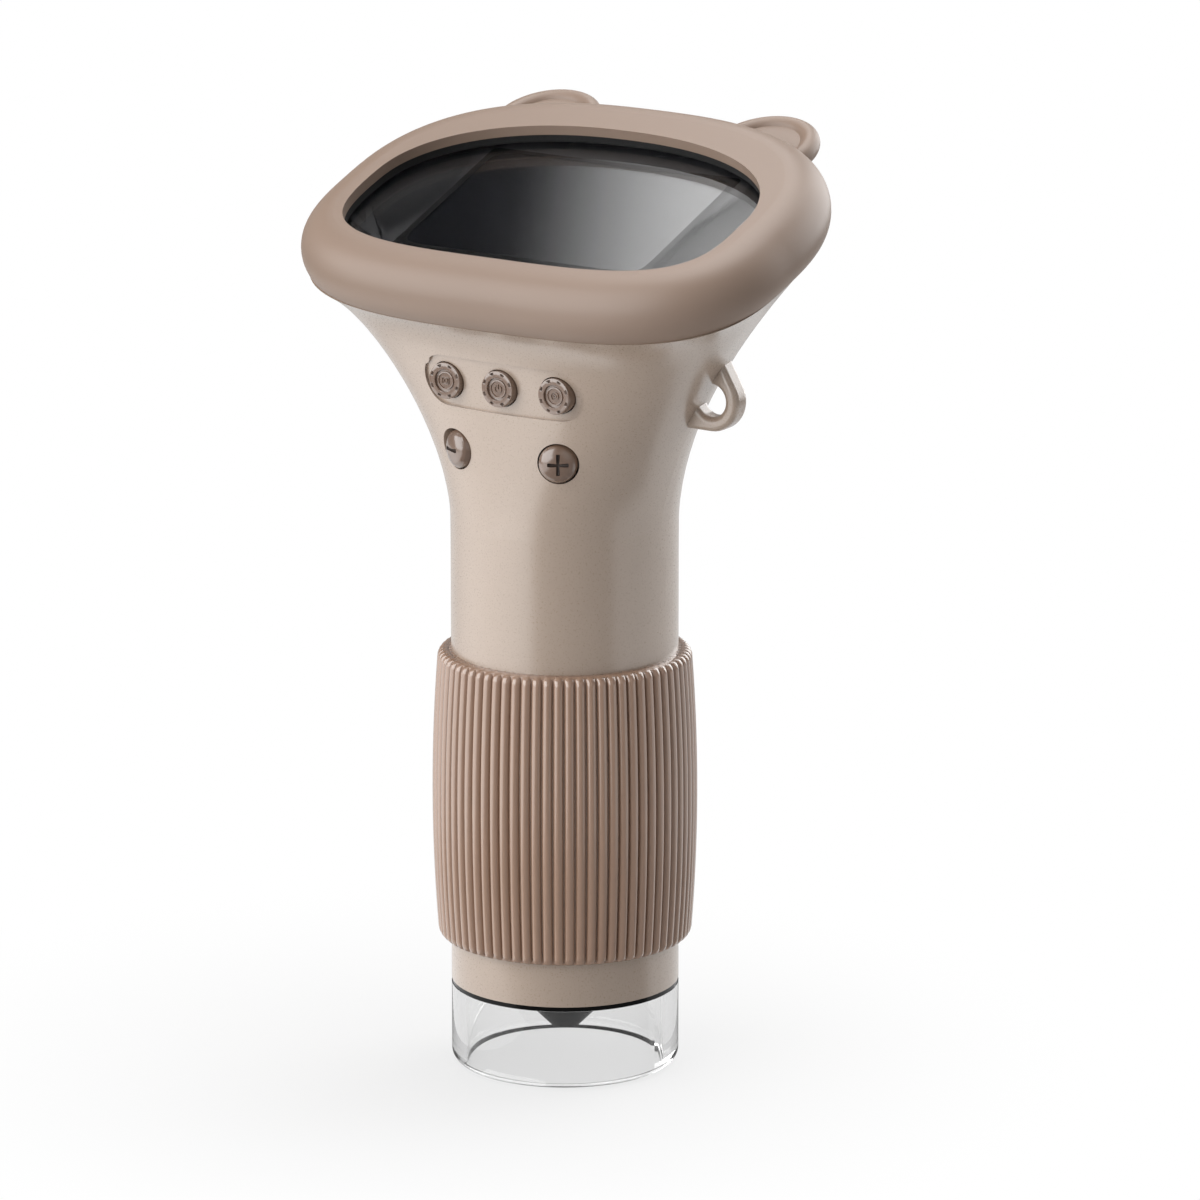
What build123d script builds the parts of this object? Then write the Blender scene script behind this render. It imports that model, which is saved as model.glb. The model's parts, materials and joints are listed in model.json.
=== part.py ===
from build123d import *
import os
from math import asin, cos, degrees, pi, radians, sin, sqrt

os.makedirs("parts", exist_ok=True)

# Handheld digital microscope with a screen in its flared head. Millimetres, +Z up. The barrel axis is
# the Z axis, the clear foot stands on z = 0, and the buttons face -Y.

# ------------------------------------------------------------------ driving sizes
# Barrel, from the foot up
tube_radius = 17.25  # clear foot and the band above it
cover_height = 12.4
cover_wall = 2.3
foot_rounding = 1.9
plate_edge = 0.7  # dark rim between foot and tube
plate_inset = 0.1
hub_thickness = 1.8
tab_thickness = 1.0
tab_angle = 18.0
tab_gap = 0.15
nose_tip_radius = 2.1
nose_tip_height = 5.5
nose_root_radius = 9.0
nose_wall = 1.2
nose_aperture = 1.0
led_count = 8
led_circle = 11.6
led_window_radius = 1.9
led_length = 2.8
led_width = 2.2
led_height = 0.8
led_board_thickness = 1.0
band_height = 7.4  # tube between foot and focus ring
sleeve_radius = 16.8
tube_bore = 14.4
flange_thickness = 2.3
flange_bore = 6.8
spigot_radius = 15.8
spigot_height = 10.0

# Ribbed focus ring
ring_height = 44.8
ring_radius = 20.05
ring_end_radius = 19.25
ring_rounding = 1.4
ring_overlap = 0.6  # how far the ring's skirt reaches over the band
ring_clearance = 0.15
rib_count = 72
rib_depth = 0.75
groove_width = 1.0
groove_floor = 0.24
collar_depth = 3.8  # how far the neck reaches down into the ring

# Focus drive: a helical groove in the ring moves two guide pins along slots in the tube
focus_lead = 12.0  # travel for one turn
focus_travel = 3.0  # each way from the middle
pin_radius = 1.2
pin_clearance = 0.15
drive_height = 41.0
thread_depth = 1.1

# Lens group carried by the pins
carriage_length = 16.0
carriage_wall = 1.7
carriage_disc = 4.0
carriage_sleeve_length = 12.0
carriage_sleeve_wall = 1.6
lens_barrel_radius = 5.0
lens_cell_radius = 3.0
lens_barrel_bottom = 16.5
lens_cell_bottom = 13.5
lens_barrel_recess = 3.0  # below the top of the carriage
front_lens_radius = 2.4
rear_lens_radius = 3.8
sensor_size = 6.5
sensor_height = 1.0

# Neck and flared head shell
neck_radius = 17.15
neck_top = 85.0
wall = 2.2
split_depth = 9.5  # vertical parting plane of front housing and rear cover
head_tilt = 19.26
head_centre_y = -2.37
head_centre_z = 134.14
shoulder_depth = 8.92  # bumper seat below the rim edge
shoulder_half_width = 39.6
shoulder_front = 24.57
shoulder_rear = 28.6
shoulder_front_power = 3.2
shoulder_rear_power = 2.0
shoulder_thickness = 2.0

# Screen opening in the bumper and the stack below it
window_half_width = 32.85
window_front = 18.34
window_rear = 20.65
window_front_power = 3.57
window_rear_power = 2.22
lip_thickness = 1.6
gasket_thickness = 1.2
glass_thickness = 1.2
glass_overlap = 1.5
collar_wall = 2.0
lcd_width = 44.0
lcd_front = 15.0
lcd_rear = 16.8
lcd_thickness = 2.6
lcd_corner = 1.0
post_height = 3.1
board_thickness = 1.2

# Bumper with bear ears
bumper_half_width = 34.6
bumper_front = 19.43
bumper_rear = 25.75
bumper_front_power = 3.37
bumper_rear_power = 2.64
bumper_radius = 5.89
ear_spacing = 38.7
ear_setback = 27.2
ear_radius = 8.7
ear_rim = 1.55
ear_depth = 4.5
ear_web = 1.6

# Controls
pad_length = 28.0
pad_height = 8.0
pad_centre_z = 108.0
pad_depth = 0.45
pad_front = 17.22  # distance of the pad floor's middle from the barrel axis
pad_bow_radius = 90.0
button_pitch = 9.65
button_radius = 2.75
button_rise = 1.78
button_travel = 0.5
button_gap = 0.15
cap_depth = 2.47  # from the pad floor down to the flange of a cap
zoom_radius = 3.0
zoom_rise = 1.0
zoom_angle = 30.0
zoom_centre_z = 97.3
zoom_wall_radius = 17.9
zoom_cap_depth = 0.9  # from the wall's inside down to the flange of a zoom cap
flange_overhang = 0.6
flange_play = 0.25
flange_relief = 0.3
key_flange = 0.8
stem_length = 0.9
stem_radius = 1.2
switch_size = 4.5
switch_height = 2.0
switch_gap = button_travel + 0.3
key_board_thickness = 1.0
key_board_height = 9.4
key_post_x = 13.8
key_post_rise = 3.4
key_post_radius = 1.4
zoom_post = 3.6
zoom_post_radius = 1.2

# Lanyard loop
loop_thickness = 3.4
loop_centre_x = 26.6
loop_centre_z = 106.3
loop_hole_radius = 2.5
loop_band = 2.2
loop_rounding = 0.9

# Ports in the rear cover
usb_width = 8.94
usb_height = 3.2
usb_length = 7.3
usb_offset = -9.0
usb_face = 15.8
card_width = 11.0
card_length = 15.0
card_thickness = 1.0
card_offset = 8.0
card_reach = 18.0
slot_clearance = 0.3
socket_front = 1.0
socket_length = 12.0

# Posts of the display frame that carry the main board
front_posts = [(-19.0, -11.5), (19.0, -11.5)]
rear_posts = [(-18.0, 10.0), (18.0, 10.0)]
frame_post_radius = 2.2

# Battery
battery_width = 18.0
battery_depth = 9.0
battery_height = 36.0
battery_offset = 2.0
battery_clearance = 0.2
battery_corner = 1.5
cradle_wall = 1.2
cradle_height = 14.0
cradle_floor = 1.2

# Fasteners
screw_radius = 1.0
screw_head_radius = 1.9
screw_head_height = 1.2
screw_clearance = 0.1
screw_fit = 0.02
screw_boss_wall = 1.8
cover_screw_x = 15.0
cover_screw_z = 108.0
cover_screw_seat = 12.0
cover_screw_depth = 8.0

# ------------------------------------------------------------------ heights that follow
plate_top = cover_height + plate_edge
hub_top = cover_height + hub_thickness
tab_top = hub_top + led_board_thickness - screw_clearance
flange_bottom = hub_top + led_board_thickness
flange_top = flange_bottom + flange_thickness
band_top = plate_top + band_height
ring_bottom = band_top - ring_overlap
ring_top = ring_bottom + ring_height
neck_bottom = ring_top - collar_depth
spigot_top = neck_bottom + spigot_height
glass_top = -lip_thickness - gasket_thickness
glass_bottom = glass_top - glass_thickness
board_top = -shoulder_depth - post_height
board_bottom = board_top - board_thickness


def d_points(half_width, front, rear, front_power, rear_power, count=32):
    """Points of a D-shaped outline: two half superellipses that share their width."""
    points = []
    for index in range(count):
        angle = 2 * pi * index / count
        across = cos(angle)
        along = sin(angle)
        depth, power = (front, front_power) if along < 0 else (rear, rear_power)
        x = half_width * abs(across) ** (2 / power)
        y = depth * abs(along) ** (2 / power)
        points.append((x if across > 0 else -x, y if along > 0 else -y))
    return points


def d_face(half_width, front, rear, front_power, rear_power):
    """A face with that outline."""
    with BuildSketch(Plane.XY) as outline:
        with BuildLine():
            Spline(*d_points(half_width, front, rear, front_power, rear_power), periodic=True)
        make_face()
    return outline.sketch_local


def window_face(grow):
    """The screen opening's outline, grown outwards by a distance."""
    return d_face(
        window_half_width + grow,
        window_front + grow,
        window_rear + grow,
        window_front_power,
        window_rear_power,
    )


def head_plane(height=0.0):
    """Plane parallel to the screen, measured up from the rim edge of the bumper."""
    tilt = radians(head_tilt)
    rim = Plane(
        origin=(0, head_centre_y, head_centre_z), x_dir=(1, 0, 0), z_dir=(0, -sin(tilt), cos(tilt))
    )
    return rim.offset(height)


def flare(step, power, late):
    """Growth from 0 at the neck to 1 at the shoulder; late moves it towards the shoulder."""
    return (1 - late) * step**power + late * step ** (3 * power)


def flare_plane(step):
    """Plane of a section of the head shell between neck (0) and shoulder (1)."""
    shoulder = head_plane(-shoulder_depth).origin
    lean = step**0.78
    tilt = radians(head_tilt) * lean
    return Plane(
        origin=(0, shoulder.Y * lean, neck_top + (shoulder.Z - neck_top) * step),
        x_dir=(1, 0, 0),
        z_dir=(0, -sin(tilt), cos(tilt)),
    )


def flare_face(step, inset):
    """Outline of the head shell in that plane, inset by the wall for the inside."""
    return d_face(
        neck_radius + (shoulder_half_width - neck_radius) * flare(step, 1.62, 0.0) - inset,
        neck_radius + (shoulder_front - neck_radius) * flare(step, 2.77, 0.45) - inset,
        neck_radius + (shoulder_rear - neck_radius) * flare(step, 3.95, 0.9) - inset,
        2 + (shoulder_front_power - 2) * step**1.93,
        2 + (shoulder_rear_power - 2) * step**1.93,
    )


def screw(length):
    """Pan head screw: seat of the head at 0, shank along -Z, head above."""
    with BuildPart() as pan_screw:
        with BuildSketch():
            Circle(screw_radius)
        extrude(amount=-length)
        with BuildSketch():
            Circle(screw_head_radius)
        extrude(amount=screw_head_height)
        fillet(pan_screw.faces().sort_by(Axis.Z)[-1].edges(), 0.4)
        with BuildSketch(Plane.XY.offset(screw_head_height)):
            Rectangle(2 * screw_head_radius * 0.6, 0.4)
            Rectangle(0.4, 2 * screw_head_radius * 0.6)
        extrude(amount=-0.6, mode=Mode.SUBTRACT)
    return pan_screw.part


def plate_screw_body(grow):
    """Countersunk screw from below, flush with the base plate; grown, it cuts its own clearance."""
    length = hub_thickness + led_board_thickness + flange_thickness - 0.4
    with BuildPart() as sunk_screw:
        with BuildSketch(Plane.XZ):
            Polygon(
                (0, cover_height),
                (screw_head_radius + grow, cover_height),
                (screw_radius + grow, cover_height + screw_head_radius - screw_radius),
                (screw_radius + grow, cover_height + length),
                (0, cover_height + length),
                align=None,
            )
        revolve(axis=Axis.Z)
    return sunk_screw.part


def save(piece, name):
    """Label a finished piece and write its file."""
    piece.part.label = name
    export_step(piece.part, f"parts/{name}.step")


# ------------------------------------------------------------------ clear foot
# Acrylic tube, rounded outside at the foot, with three tabs that snap through the base plate.
tab_inner = tube_radius - cover_wall + tab_gap
tab_outer = tab_inner + tab_thickness
tab_middle = (tab_inner + tab_outer) / 2

with BuildPart() as clear_cover:
    with BuildSketch():
        Circle(tube_radius)
        Circle(tube_radius - cover_wall, mode=Mode.SUBTRACT)
    extrude(amount=cover_height)
    foot_edge = clear_cover.faces().sort_by(Axis.Z)[0].edges().sort_by(SortBy.LENGTH)[-1]
    fillet(foot_edge, foot_rounding)
    with BuildSketch(Plane.XY.offset(cover_height)):
        with PolarLocations(0, 3, 90):
            SlotArc(CenterArc((0, 0), tab_middle, -tab_angle / 2, tab_angle), tab_thickness)
    extrude(amount=tab_top - cover_height)
save(clear_cover, "clear_cover")

# ------------------------------------------------------------------ base plate with the nose cone
# One black moulding: rim between foot and tube, hub that carries the LED board, hollow nose.
screw_angle = 180 / led_count

with BuildPart() as base_plate:
    with BuildSketch(Plane.XY.offset(cover_height)):
        Circle(tube_radius - plate_inset)
    extrude(amount=plate_edge)
    with BuildSketch(Plane.XY.offset(cover_height)):
        Circle(tab_inner - 0.2)
    extrude(amount=hub_thickness)
    with BuildSketch(Plane.XZ):
        Polygon(
            (0, cover_height + 0.1),
            (nose_root_radius, cover_height + 0.1),
            (nose_root_radius, cover_height),
            (nose_tip_radius, nose_tip_height),
            (0, nose_tip_height),
            align=None,
        )
    revolve(axis=Axis.Z)
    with BuildSketch(Plane.XZ):
        Polygon(
            (0, hub_top),
            (nose_root_radius - nose_wall, hub_top),
            (nose_root_radius - nose_wall, cover_height),
            (nose_aperture, nose_tip_height + nose_wall),
            (nose_aperture, nose_tip_height),
            (0, nose_tip_height),
            align=None,
        )
    revolve(axis=Axis.Z, mode=Mode.SUBTRACT)
    with BuildSketch(Plane.XY.offset(cover_height)):
        with PolarLocations(led_circle, led_count):
            Circle(led_window_radius)
        with PolarLocations(0, 3, 90):
            SlotArc(CenterArc((0, 0), tab_middle, -tab_angle / 2 - 0.5, tab_angle + 1), tab_thickness + 0.2)
    extrude(amount=hub_thickness, mode=Mode.SUBTRACT)
    with PolarLocations(led_circle, 4, screw_angle):
        add(plate_screw_body(screw_clearance), mode=Mode.SUBTRACT)
save(base_plate, "base_plate")

with BuildPart() as plate_screws:
    with PolarLocations(led_circle, 4, screw_angle):
        add(plate_screw_body(0))
save(plate_screws, "plate_screws")

# ------------------------------------------------------------------ LED ring
with BuildPart() as led_board:
    with BuildSketch(Plane.XY.offset(hub_top)):
        Circle(tab_inner - 0.3)
        Circle(flange_bore, mode=Mode.SUBTRACT)
        with PolarLocations(led_circle, 4, screw_angle):
            Circle(screw_radius + screw_clearance, mode=Mode.SUBTRACT)
    extrude(amount=led_board_thickness)
save(led_board, "led_board")

with BuildPart() as leds:
    with BuildSketch(Plane.XY.offset(hub_top)):
        with PolarLocations(led_circle, led_count):
            Rectangle(led_length, led_width)
    extrude(amount=-led_height)
save(leds, "leds")

# ------------------------------------------------------------------ fixed barrel tube
# Band above the foot, sleeve that the focus ring turns on, spigot inside the neck.
slot_half_height = focus_travel + pin_radius + 0.4

with BuildPart() as barrel_tube:
    with BuildSketch(Plane.XY.offset(plate_top)):
        Circle(tube_radius)
    extrude(amount=band_height)
    with BuildSketch(Plane.XY.offset(band_top)):
        Circle(sleeve_radius)
    extrude(amount=neck_bottom - band_top)
    with BuildSketch(Plane.XY.offset(neck_bottom)):
        Circle(spigot_radius)
    extrude(amount=spigot_height)
    with BuildSketch(Plane.XY.offset(plate_top)):
        Circle(tab_outer + 0.1)
    extrude(amount=flange_bottom - plate_top, mode=Mode.SUBTRACT)
    with BuildSketch(Plane.XY.offset(flange_top)):
        Circle(tube_bore)
    extrude(amount=spigot_top - flange_top, mode=Mode.SUBTRACT)
    with BuildSketch(Plane.XY.offset(flange_bottom)):
        Circle(flange_bore)
        with PolarLocations(led_circle, 4, screw_angle):
            Circle(screw_radius + screw_fit)
    extrude(amount=flange_thickness, mode=Mode.SUBTRACT)
    with BuildSketch(Plane.YZ):
        with Locations((0, drive_height)):
            SlotOverall(2 * slot_half_height, 2 * (pin_radius + 0.1), rotation=90)
    extrude(amount=sleeve_radius + 1, both=True, mode=Mode.SUBTRACT)
save(barrel_tube, "barrel_tube")

# ------------------------------------------------------------------ focus ring
# Barrel-shaped grip with vertical ribs. Inside, two helical grooves, half a turn apart, drive the pins.
ring_bore = sleeve_radius + ring_clearance
ring_middle = (ring_bottom + ring_top) / 2
barrel_half = ring_height / 2 - ring_rounding
barrel_sag = ring_radius - ring_end_radius
barrel_arc = (barrel_half**2 + barrel_sag**2) / (2 * barrel_sag)
ring_land_radius = ring_end_radius - ring_rounding + 0.1
thread_half_width = pin_radius + pin_clearance
thread_height = 2 * focus_travel + 4 * thread_half_width

# V groove between two ribs, its floor parallel to the barrel arc
with BuildPart() as rib_groove:
    with BuildSketch(Plane.XY.offset(ring_middle)):
        Polygon(
            (ring_radius - rib_depth, groove_floor / 2),
            (ring_radius - rib_depth, -groove_floor / 2),
            (ring_radius + 0.4, -groove_width / 2 - 0.2),
            (ring_radius + 0.4, groove_width / 2 + 0.2),
            align=None,
        )
    revolve(
        axis=Axis((ring_radius - barrel_arc, 0, ring_middle), (0, 1, 0)),
        revolution_arc=degrees(asin((ring_height / 2 + 1) / barrel_arc)),
    )
    mirror(about=Plane.XY.offset(ring_middle))

# Helical groove, left-handed so that turning the ring anticlockwise from above lifts the pins
with BuildLine() as drive_path:
    Helix(
        pitch=focus_lead,
        height=thread_height,
        radius=ring_bore,
        center=(0, 0, drive_height - thread_height / 2),
        lefthand=True,
    )

with BuildPart() as drive_groove:
    with BuildSketch(Plane(origin=drive_path.line @ 0, x_dir=(1, 0, 0), z_dir=drive_path.line % 0)):
        Rectangle(2 * thread_depth, 2 * thread_half_width)
    sweep(path=drive_path.line, is_frenet=True)

with BuildPart() as focus_ring:
    with BuildSketch(Plane.XZ):
        with BuildLine():
            grip = ThreePointArc(
                (ring_end_radius, ring_bottom + ring_rounding),
                (ring_radius, ring_middle),
                (ring_end_radius, ring_top - ring_rounding),
            )
            top_round = RadiusArc(grip @ 1, (ring_land_radius, ring_top), -ring_rounding)
            bottom_round = RadiusArc((ring_land_radius, ring_bottom), grip @ 0, -ring_rounding)
            Polyline(
                top_round @ 1,
                (ring_bore, ring_top),
                (ring_bore, ring_bottom),
                bottom_round @ 0,
            )
        make_face()
    revolve(axis=Axis.Z)
    # counterbores: the neck reaches in at the top, the tube's band at the bottom
    with BuildSketch(Plane.XY.offset(neck_bottom - 0.2)):
        Circle(neck_radius + 0.32)
    extrude(amount=collar_depth + 1, mode=Mode.SUBTRACT)
    with BuildSketch(Plane.XY.offset(ring_bottom)):
        Circle(tube_radius + 0.2)
    extrude(amount=band_top + 0.2 - ring_bottom, mode=Mode.SUBTRACT)
    with PolarLocations(0, 2, 180 * thread_height / focus_lead):
        add(drive_groove.part, mode=Mode.SUBTRACT)
    with PolarLocations(0, rib_count):
        add(rib_groove.part, mode=Mode.SUBTRACT)
save(focus_ring, "focus_ring")

# ------------------------------------------------------------------ moving lens group
carriage_bottom = drive_height - carriage_length / 2
carriage_top = drive_height + carriage_length / 2
carriage_radius = tube_bore - ring_clearance
lens_barrel_top = carriage_top - lens_barrel_recess
pin_root = lens_barrel_radius + carriage_sleeve_wall
pin_tip = ring_bore + thread_depth - 0.2

with BuildPart() as lens_carriage:
    with BuildSketch(Plane.XY.offset(carriage_bottom)):
        Circle(carriage_radius)
        Circle(carriage_radius - carriage_wall, mode=Mode.SUBTRACT)
    extrude(amount=carriage_length)
    with BuildSketch(Plane.XY.offset(drive_height - carriage_disc / 2)):
        Circle(carriage_radius - carriage_wall / 2)
    extrude(amount=carriage_disc)
    with BuildSketch(Plane.XY.offset(carriage_bottom)):
        Circle(pin_root)
    extrude(amount=carriage_sleeve_length)
    with BuildSketch(Plane.XY.offset(carriage_bottom)):
        Circle(lens_barrel_radius)
    extrude(amount=carriage_length, mode=Mode.SUBTRACT)
    with BuildSketch(Plane.YZ):
        with Locations((0, drive_height)):
            Circle(pin_radius)
    extrude(amount=carriage_radius, both=True, mode=Mode.SUBTRACT)
save(lens_carriage, "lens_carriage")

with BuildPart() as guide_pins:
    with BuildSketch(Plane.YZ.offset(pin_root)):
        with Locations((0, drive_height)):
            Circle(pin_radius)
    extrude(amount=pin_tip - pin_root)
    mirror(about=Plane.YZ)
save(guide_pins, "guide_pins")

with BuildPart() as lens_barrel:
    with BuildSketch(Plane.XZ):
        Polygon(
            (front_lens_radius, lens_cell_bottom),
            (lens_cell_radius, lens_cell_bottom),
            (lens_cell_radius, lens_barrel_bottom),
            (lens_barrel_radius, lens_barrel_bottom + 2),
            (lens_barrel_radius, lens_barrel_top),
            (rear_lens_radius, lens_barrel_top),
            (rear_lens_radius, lens_barrel_bottom + 2),
            (front_lens_radius, lens_barrel_bottom),
            align=None,
        )
    revolve(axis=Axis.Z)
save(lens_barrel, "lens_barrel")


def lens(radius, bottom, edge, bulge):
    """Biconvex lens: a disc with spherical faces, standing on its lower rim edge."""
    with BuildPart() as glass:
        with BuildSketch(Plane.XZ):
            with BuildLine():
                lower = ThreePointArc((-radius, bottom), (0, bottom - bulge), (radius, bottom))
                rim = Line(lower @ 1, (radius, bottom + edge))
                upper = ThreePointArc(rim @ 1, (0, bottom + edge + bulge), (-radius, bottom + edge))
                Line(upper @ 1, lower @ 0)
            make_face()
            split(bisect_by=Plane.YZ)
        revolve(axis=Axis.Z)
    return glass


front_lens = lens(front_lens_radius, lens_cell_bottom + 0.8, 0.8, 0.4)
save(front_lens, "front_lens")
rear_lens = lens(rear_lens_radius, lens_barrel_top - 6, 1.6, 0.7)
save(rear_lens, "rear_lens")

with BuildPart() as sensor_board:
    with BuildSketch(Plane.XY.offset(carriage_top)):
        Circle(carriage_radius - 0.8)
    extrude(amount=board_thickness)
save(sensor_board, "sensor_board")

with BuildPart() as image_sensor:
    with BuildSketch(Plane.XY.offset(carriage_top)):
        Rectangle(sensor_size, sensor_size)
    extrude(amount=-sensor_height)
save(image_sensor, "image_sensor")

# ------------------------------------------------------------------ head shell
# The neck tube flares into the D-shaped head. Outer skin and inside are two lofts by the same rule.
flare_steps = [0.0, 0.06, 0.14, 0.24, 0.36, 0.48, 0.6, 0.72, 0.82, 0.91, 1.0]

with BuildPart() as head_skin:
    for step in flare_steps:
        with BuildSketch(flare_plane(step)):
            add(flare_face(step, 0))
    loft()
    with BuildSketch(Plane.XY.offset(neck_bottom)):
        add(flare_face(0.0, 0))
    extrude(amount=neck_top - neck_bottom)

with BuildPart() as head_cavity:
    for step in flare_steps:
        with BuildSketch(flare_plane(step)):
            add(flare_face(step, wall))
    loft()
    with BuildSketch(Plane.XY.offset(neck_bottom)):
        add(flare_face(0.0, wall))
    extrude(amount=neck_top - neck_bottom)
    split(bisect_by=head_plane(-shoulder_depth - shoulder_thickness), keep=Keep.BOTTOM)

# Button pad: a shallow pill-shaped recess whose floor follows the skin
with BuildPart() as pad_floor:
    for step in flare_steps:
        with BuildSketch(flare_plane(step)):
            add(flare_face(step, pad_depth))
    loft()

with BuildPart() as pad_recess:
    with BuildSketch(Plane.XZ.offset(neck_radius - wall)):
        with Locations((0, pad_centre_z)):
            SlotOverall(pad_length, pad_height)
    extrude(amount=pad_height)
    add(pad_floor.part, mode=Mode.SUBTRACT)


def zoom_plane(side, distance):
    """Plane across a zoom button's axis, at a distance from the barrel axis; side is -1 or 1."""
    angle = radians(zoom_angle)
    outward = (side * sin(angle), -cos(angle), 0)
    origin = (outward[0] * distance, outward[1] * distance, zoom_centre_z)
    return Plane(origin=origin, x_dir=(cos(angle), side * sin(angle), 0), z_dir=outward)


# Board posts and screw bosses inside the front housing, trimmed later by the outer skin
key_stack = key_flange + stem_length + switch_gap + switch_height
cap_flange_face = pad_front - cap_depth
zoom_flange_face = zoom_wall_radius - wall - zoom_cap_depth
key_face = cap_flange_face - key_stack
zoom_face = zoom_flange_face - key_stack
key_post_z = pad_centre_z + key_post_rise
cover_boss_radius = screw_radius + screw_boss_wall
cover_screw_places = [(cover_screw_x, cover_screw_z), (-cover_screw_x, cover_screw_z)]

with BuildPart() as inner_posts:
    with BuildSketch(Plane.XZ.offset(key_face)):
        with Locations((key_post_x, key_post_z), (-key_post_x, key_post_z)):
            Circle(key_post_radius)
    extrude(amount=12)
    for side in (-1, 1):
        with BuildSketch(zoom_plane(side, zoom_face)):
            with Locations((-zoom_post, zoom_post), (zoom_post, -zoom_post)):
                Circle(zoom_post_radius)
        extrude(amount=10)
        with BuildSketch(Plane.XZ.offset(-split_depth)):
            with Locations((side * cover_screw_x, cover_screw_z)):
                Circle(cover_boss_radius)
            with Locations((side * (cover_screw_x + 7), cover_screw_z)):
                Rectangle(14, 2.4)
        extrude(amount=cover_screw_depth + 1)
    add(head_skin.part, mode=Mode.INTERSECT)

# Lanyard loop: a rounded eye on the right-hand side
with BuildPart() as lanyard_loop:
    with BuildSketch(Plane.XZ.offset(-loop_thickness / 2)):
        with Locations((loop_centre_x, loop_centre_z)):
            Circle(loop_hole_radius + loop_band)
        with Locations((loop_centre_x + 1.3, loop_centre_z + 6.2), (loop_centre_x - 5, loop_centre_z - 4.2)):
            Circle(0.5)
        make_hull()
        with Locations((loop_centre_x, loop_centre_z)):
            Circle(loop_hole_radius, mode=Mode.SUBTRACT)
    extrude(amount=loop_thickness)
    loop_sides = lanyard_loop.faces().filter_by(Axis.Y)
    fillet(loop_sides.edges(), loop_rounding)

# Whole shell: skin, shoulder, collar round the glass, pad, loop and button holes
collar_inner = glass_overlap + 0.1
collar_outer = collar_inner + collar_wall
ledge_inner = glass_overlap - shoulder_thickness
cap_flange_radius = button_radius + flange_overhang
zoom_flange_radius = zoom_radius + flange_overhang
button_places = (-button_pitch, 0.0, button_pitch)

with BuildPart() as head_shell:
    add(head_skin.part)
    add(lanyard_loop.part)
    add(head_cavity.part, mode=Mode.SUBTRACT)
    with BuildSketch(Plane.XY.offset(neck_bottom)):
        Circle(spigot_radius + 0.05)
    extrude(amount=spigot_height, mode=Mode.SUBTRACT)
    with BuildSketch(head_plane(-shoulder_depth)):
        add(window_face(collar_outer))
    extrude(amount=shoulder_depth - lip_thickness - 0.05)
    with BuildSketch(head_plane(-shoulder_depth)):
        add(window_face(collar_inner))
    extrude(amount=shoulder_depth, mode=Mode.SUBTRACT)
    with BuildSketch(head_plane(-shoulder_depth)):
        add(window_face(ledge_inner))
    extrude(amount=-shoulder_thickness - 1, mode=Mode.SUBTRACT)
    add(pad_recess.part, mode=Mode.SUBTRACT)
    add(inner_posts.part)
    with BuildSketch(Plane.XZ):
        for place in button_places:
            with Locations((place, pad_centre_z)):
                Circle(button_radius + button_gap)
    extrude(amount=pad_front + 8, mode=Mode.SUBTRACT)
    with BuildSketch(Plane.XZ.offset(cap_flange_face + flange_relief)):
        for place in button_places:
            with Locations((place, pad_centre_z)):
                Circle(cap_flange_radius + flange_play)
    extrude(amount=-6, mode=Mode.SUBTRACT)
    for side in (-1, 1):
        with BuildSketch(zoom_plane(side, 0)):
            Circle(zoom_radius + button_gap)
        extrude(amount=zoom_wall_radius + 8, mode=Mode.SUBTRACT)
        with BuildSketch(zoom_plane(side, zoom_flange_face + flange_relief)):
            Circle(zoom_flange_radius + flange_play)
        extrude(amount=-4, mode=Mode.SUBTRACT)

# ------------------------------------------------------------------ front housing
parting = Plane.XZ.offset(-split_depth)

with BuildPart() as front_housing:
    add(head_shell.part)
    split(bisect_by=parting, keep=Keep.TOP)
    with BuildSketch(parting):
        with Locations(cover_screw_places):
            Circle(screw_radius + screw_fit)
    extrude(amount=cover_screw_depth, mode=Mode.SUBTRACT)
save(front_housing, "front_housing")

# ------------------------------------------------------------------ rear cover with its ports
def behind_plane(depth):
    """Plane across the screen's own rear direction, seen from behind: x to the left, y up from the rim."""
    screen = head_plane()
    return Plane(origin=screen.origin + screen.y_dir * depth, x_dir=(-1, 0, 0), z_dir=screen.y_dir)


def seen_from_behind(depth):
    """Upright plane behind the barrel, at a distance along +Y, with x to the left."""
    return Plane(origin=(0, depth, 0), x_dir=(-1, 0, 0), z_dir=(0, 1, 0))


usb_level = board_bottom - usb_height / 2
card_level = board_bottom - 0.3 - card_thickness / 2

with BuildPart() as cover_bosses:
    with BuildSketch(seen_from_behind(split_depth)):
        with Locations(cover_screw_places):
            Circle(cover_boss_radius)
    extrude(amount=cover_screw_depth)
    add(head_skin.part, mode=Mode.INTERSECT)

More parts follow.
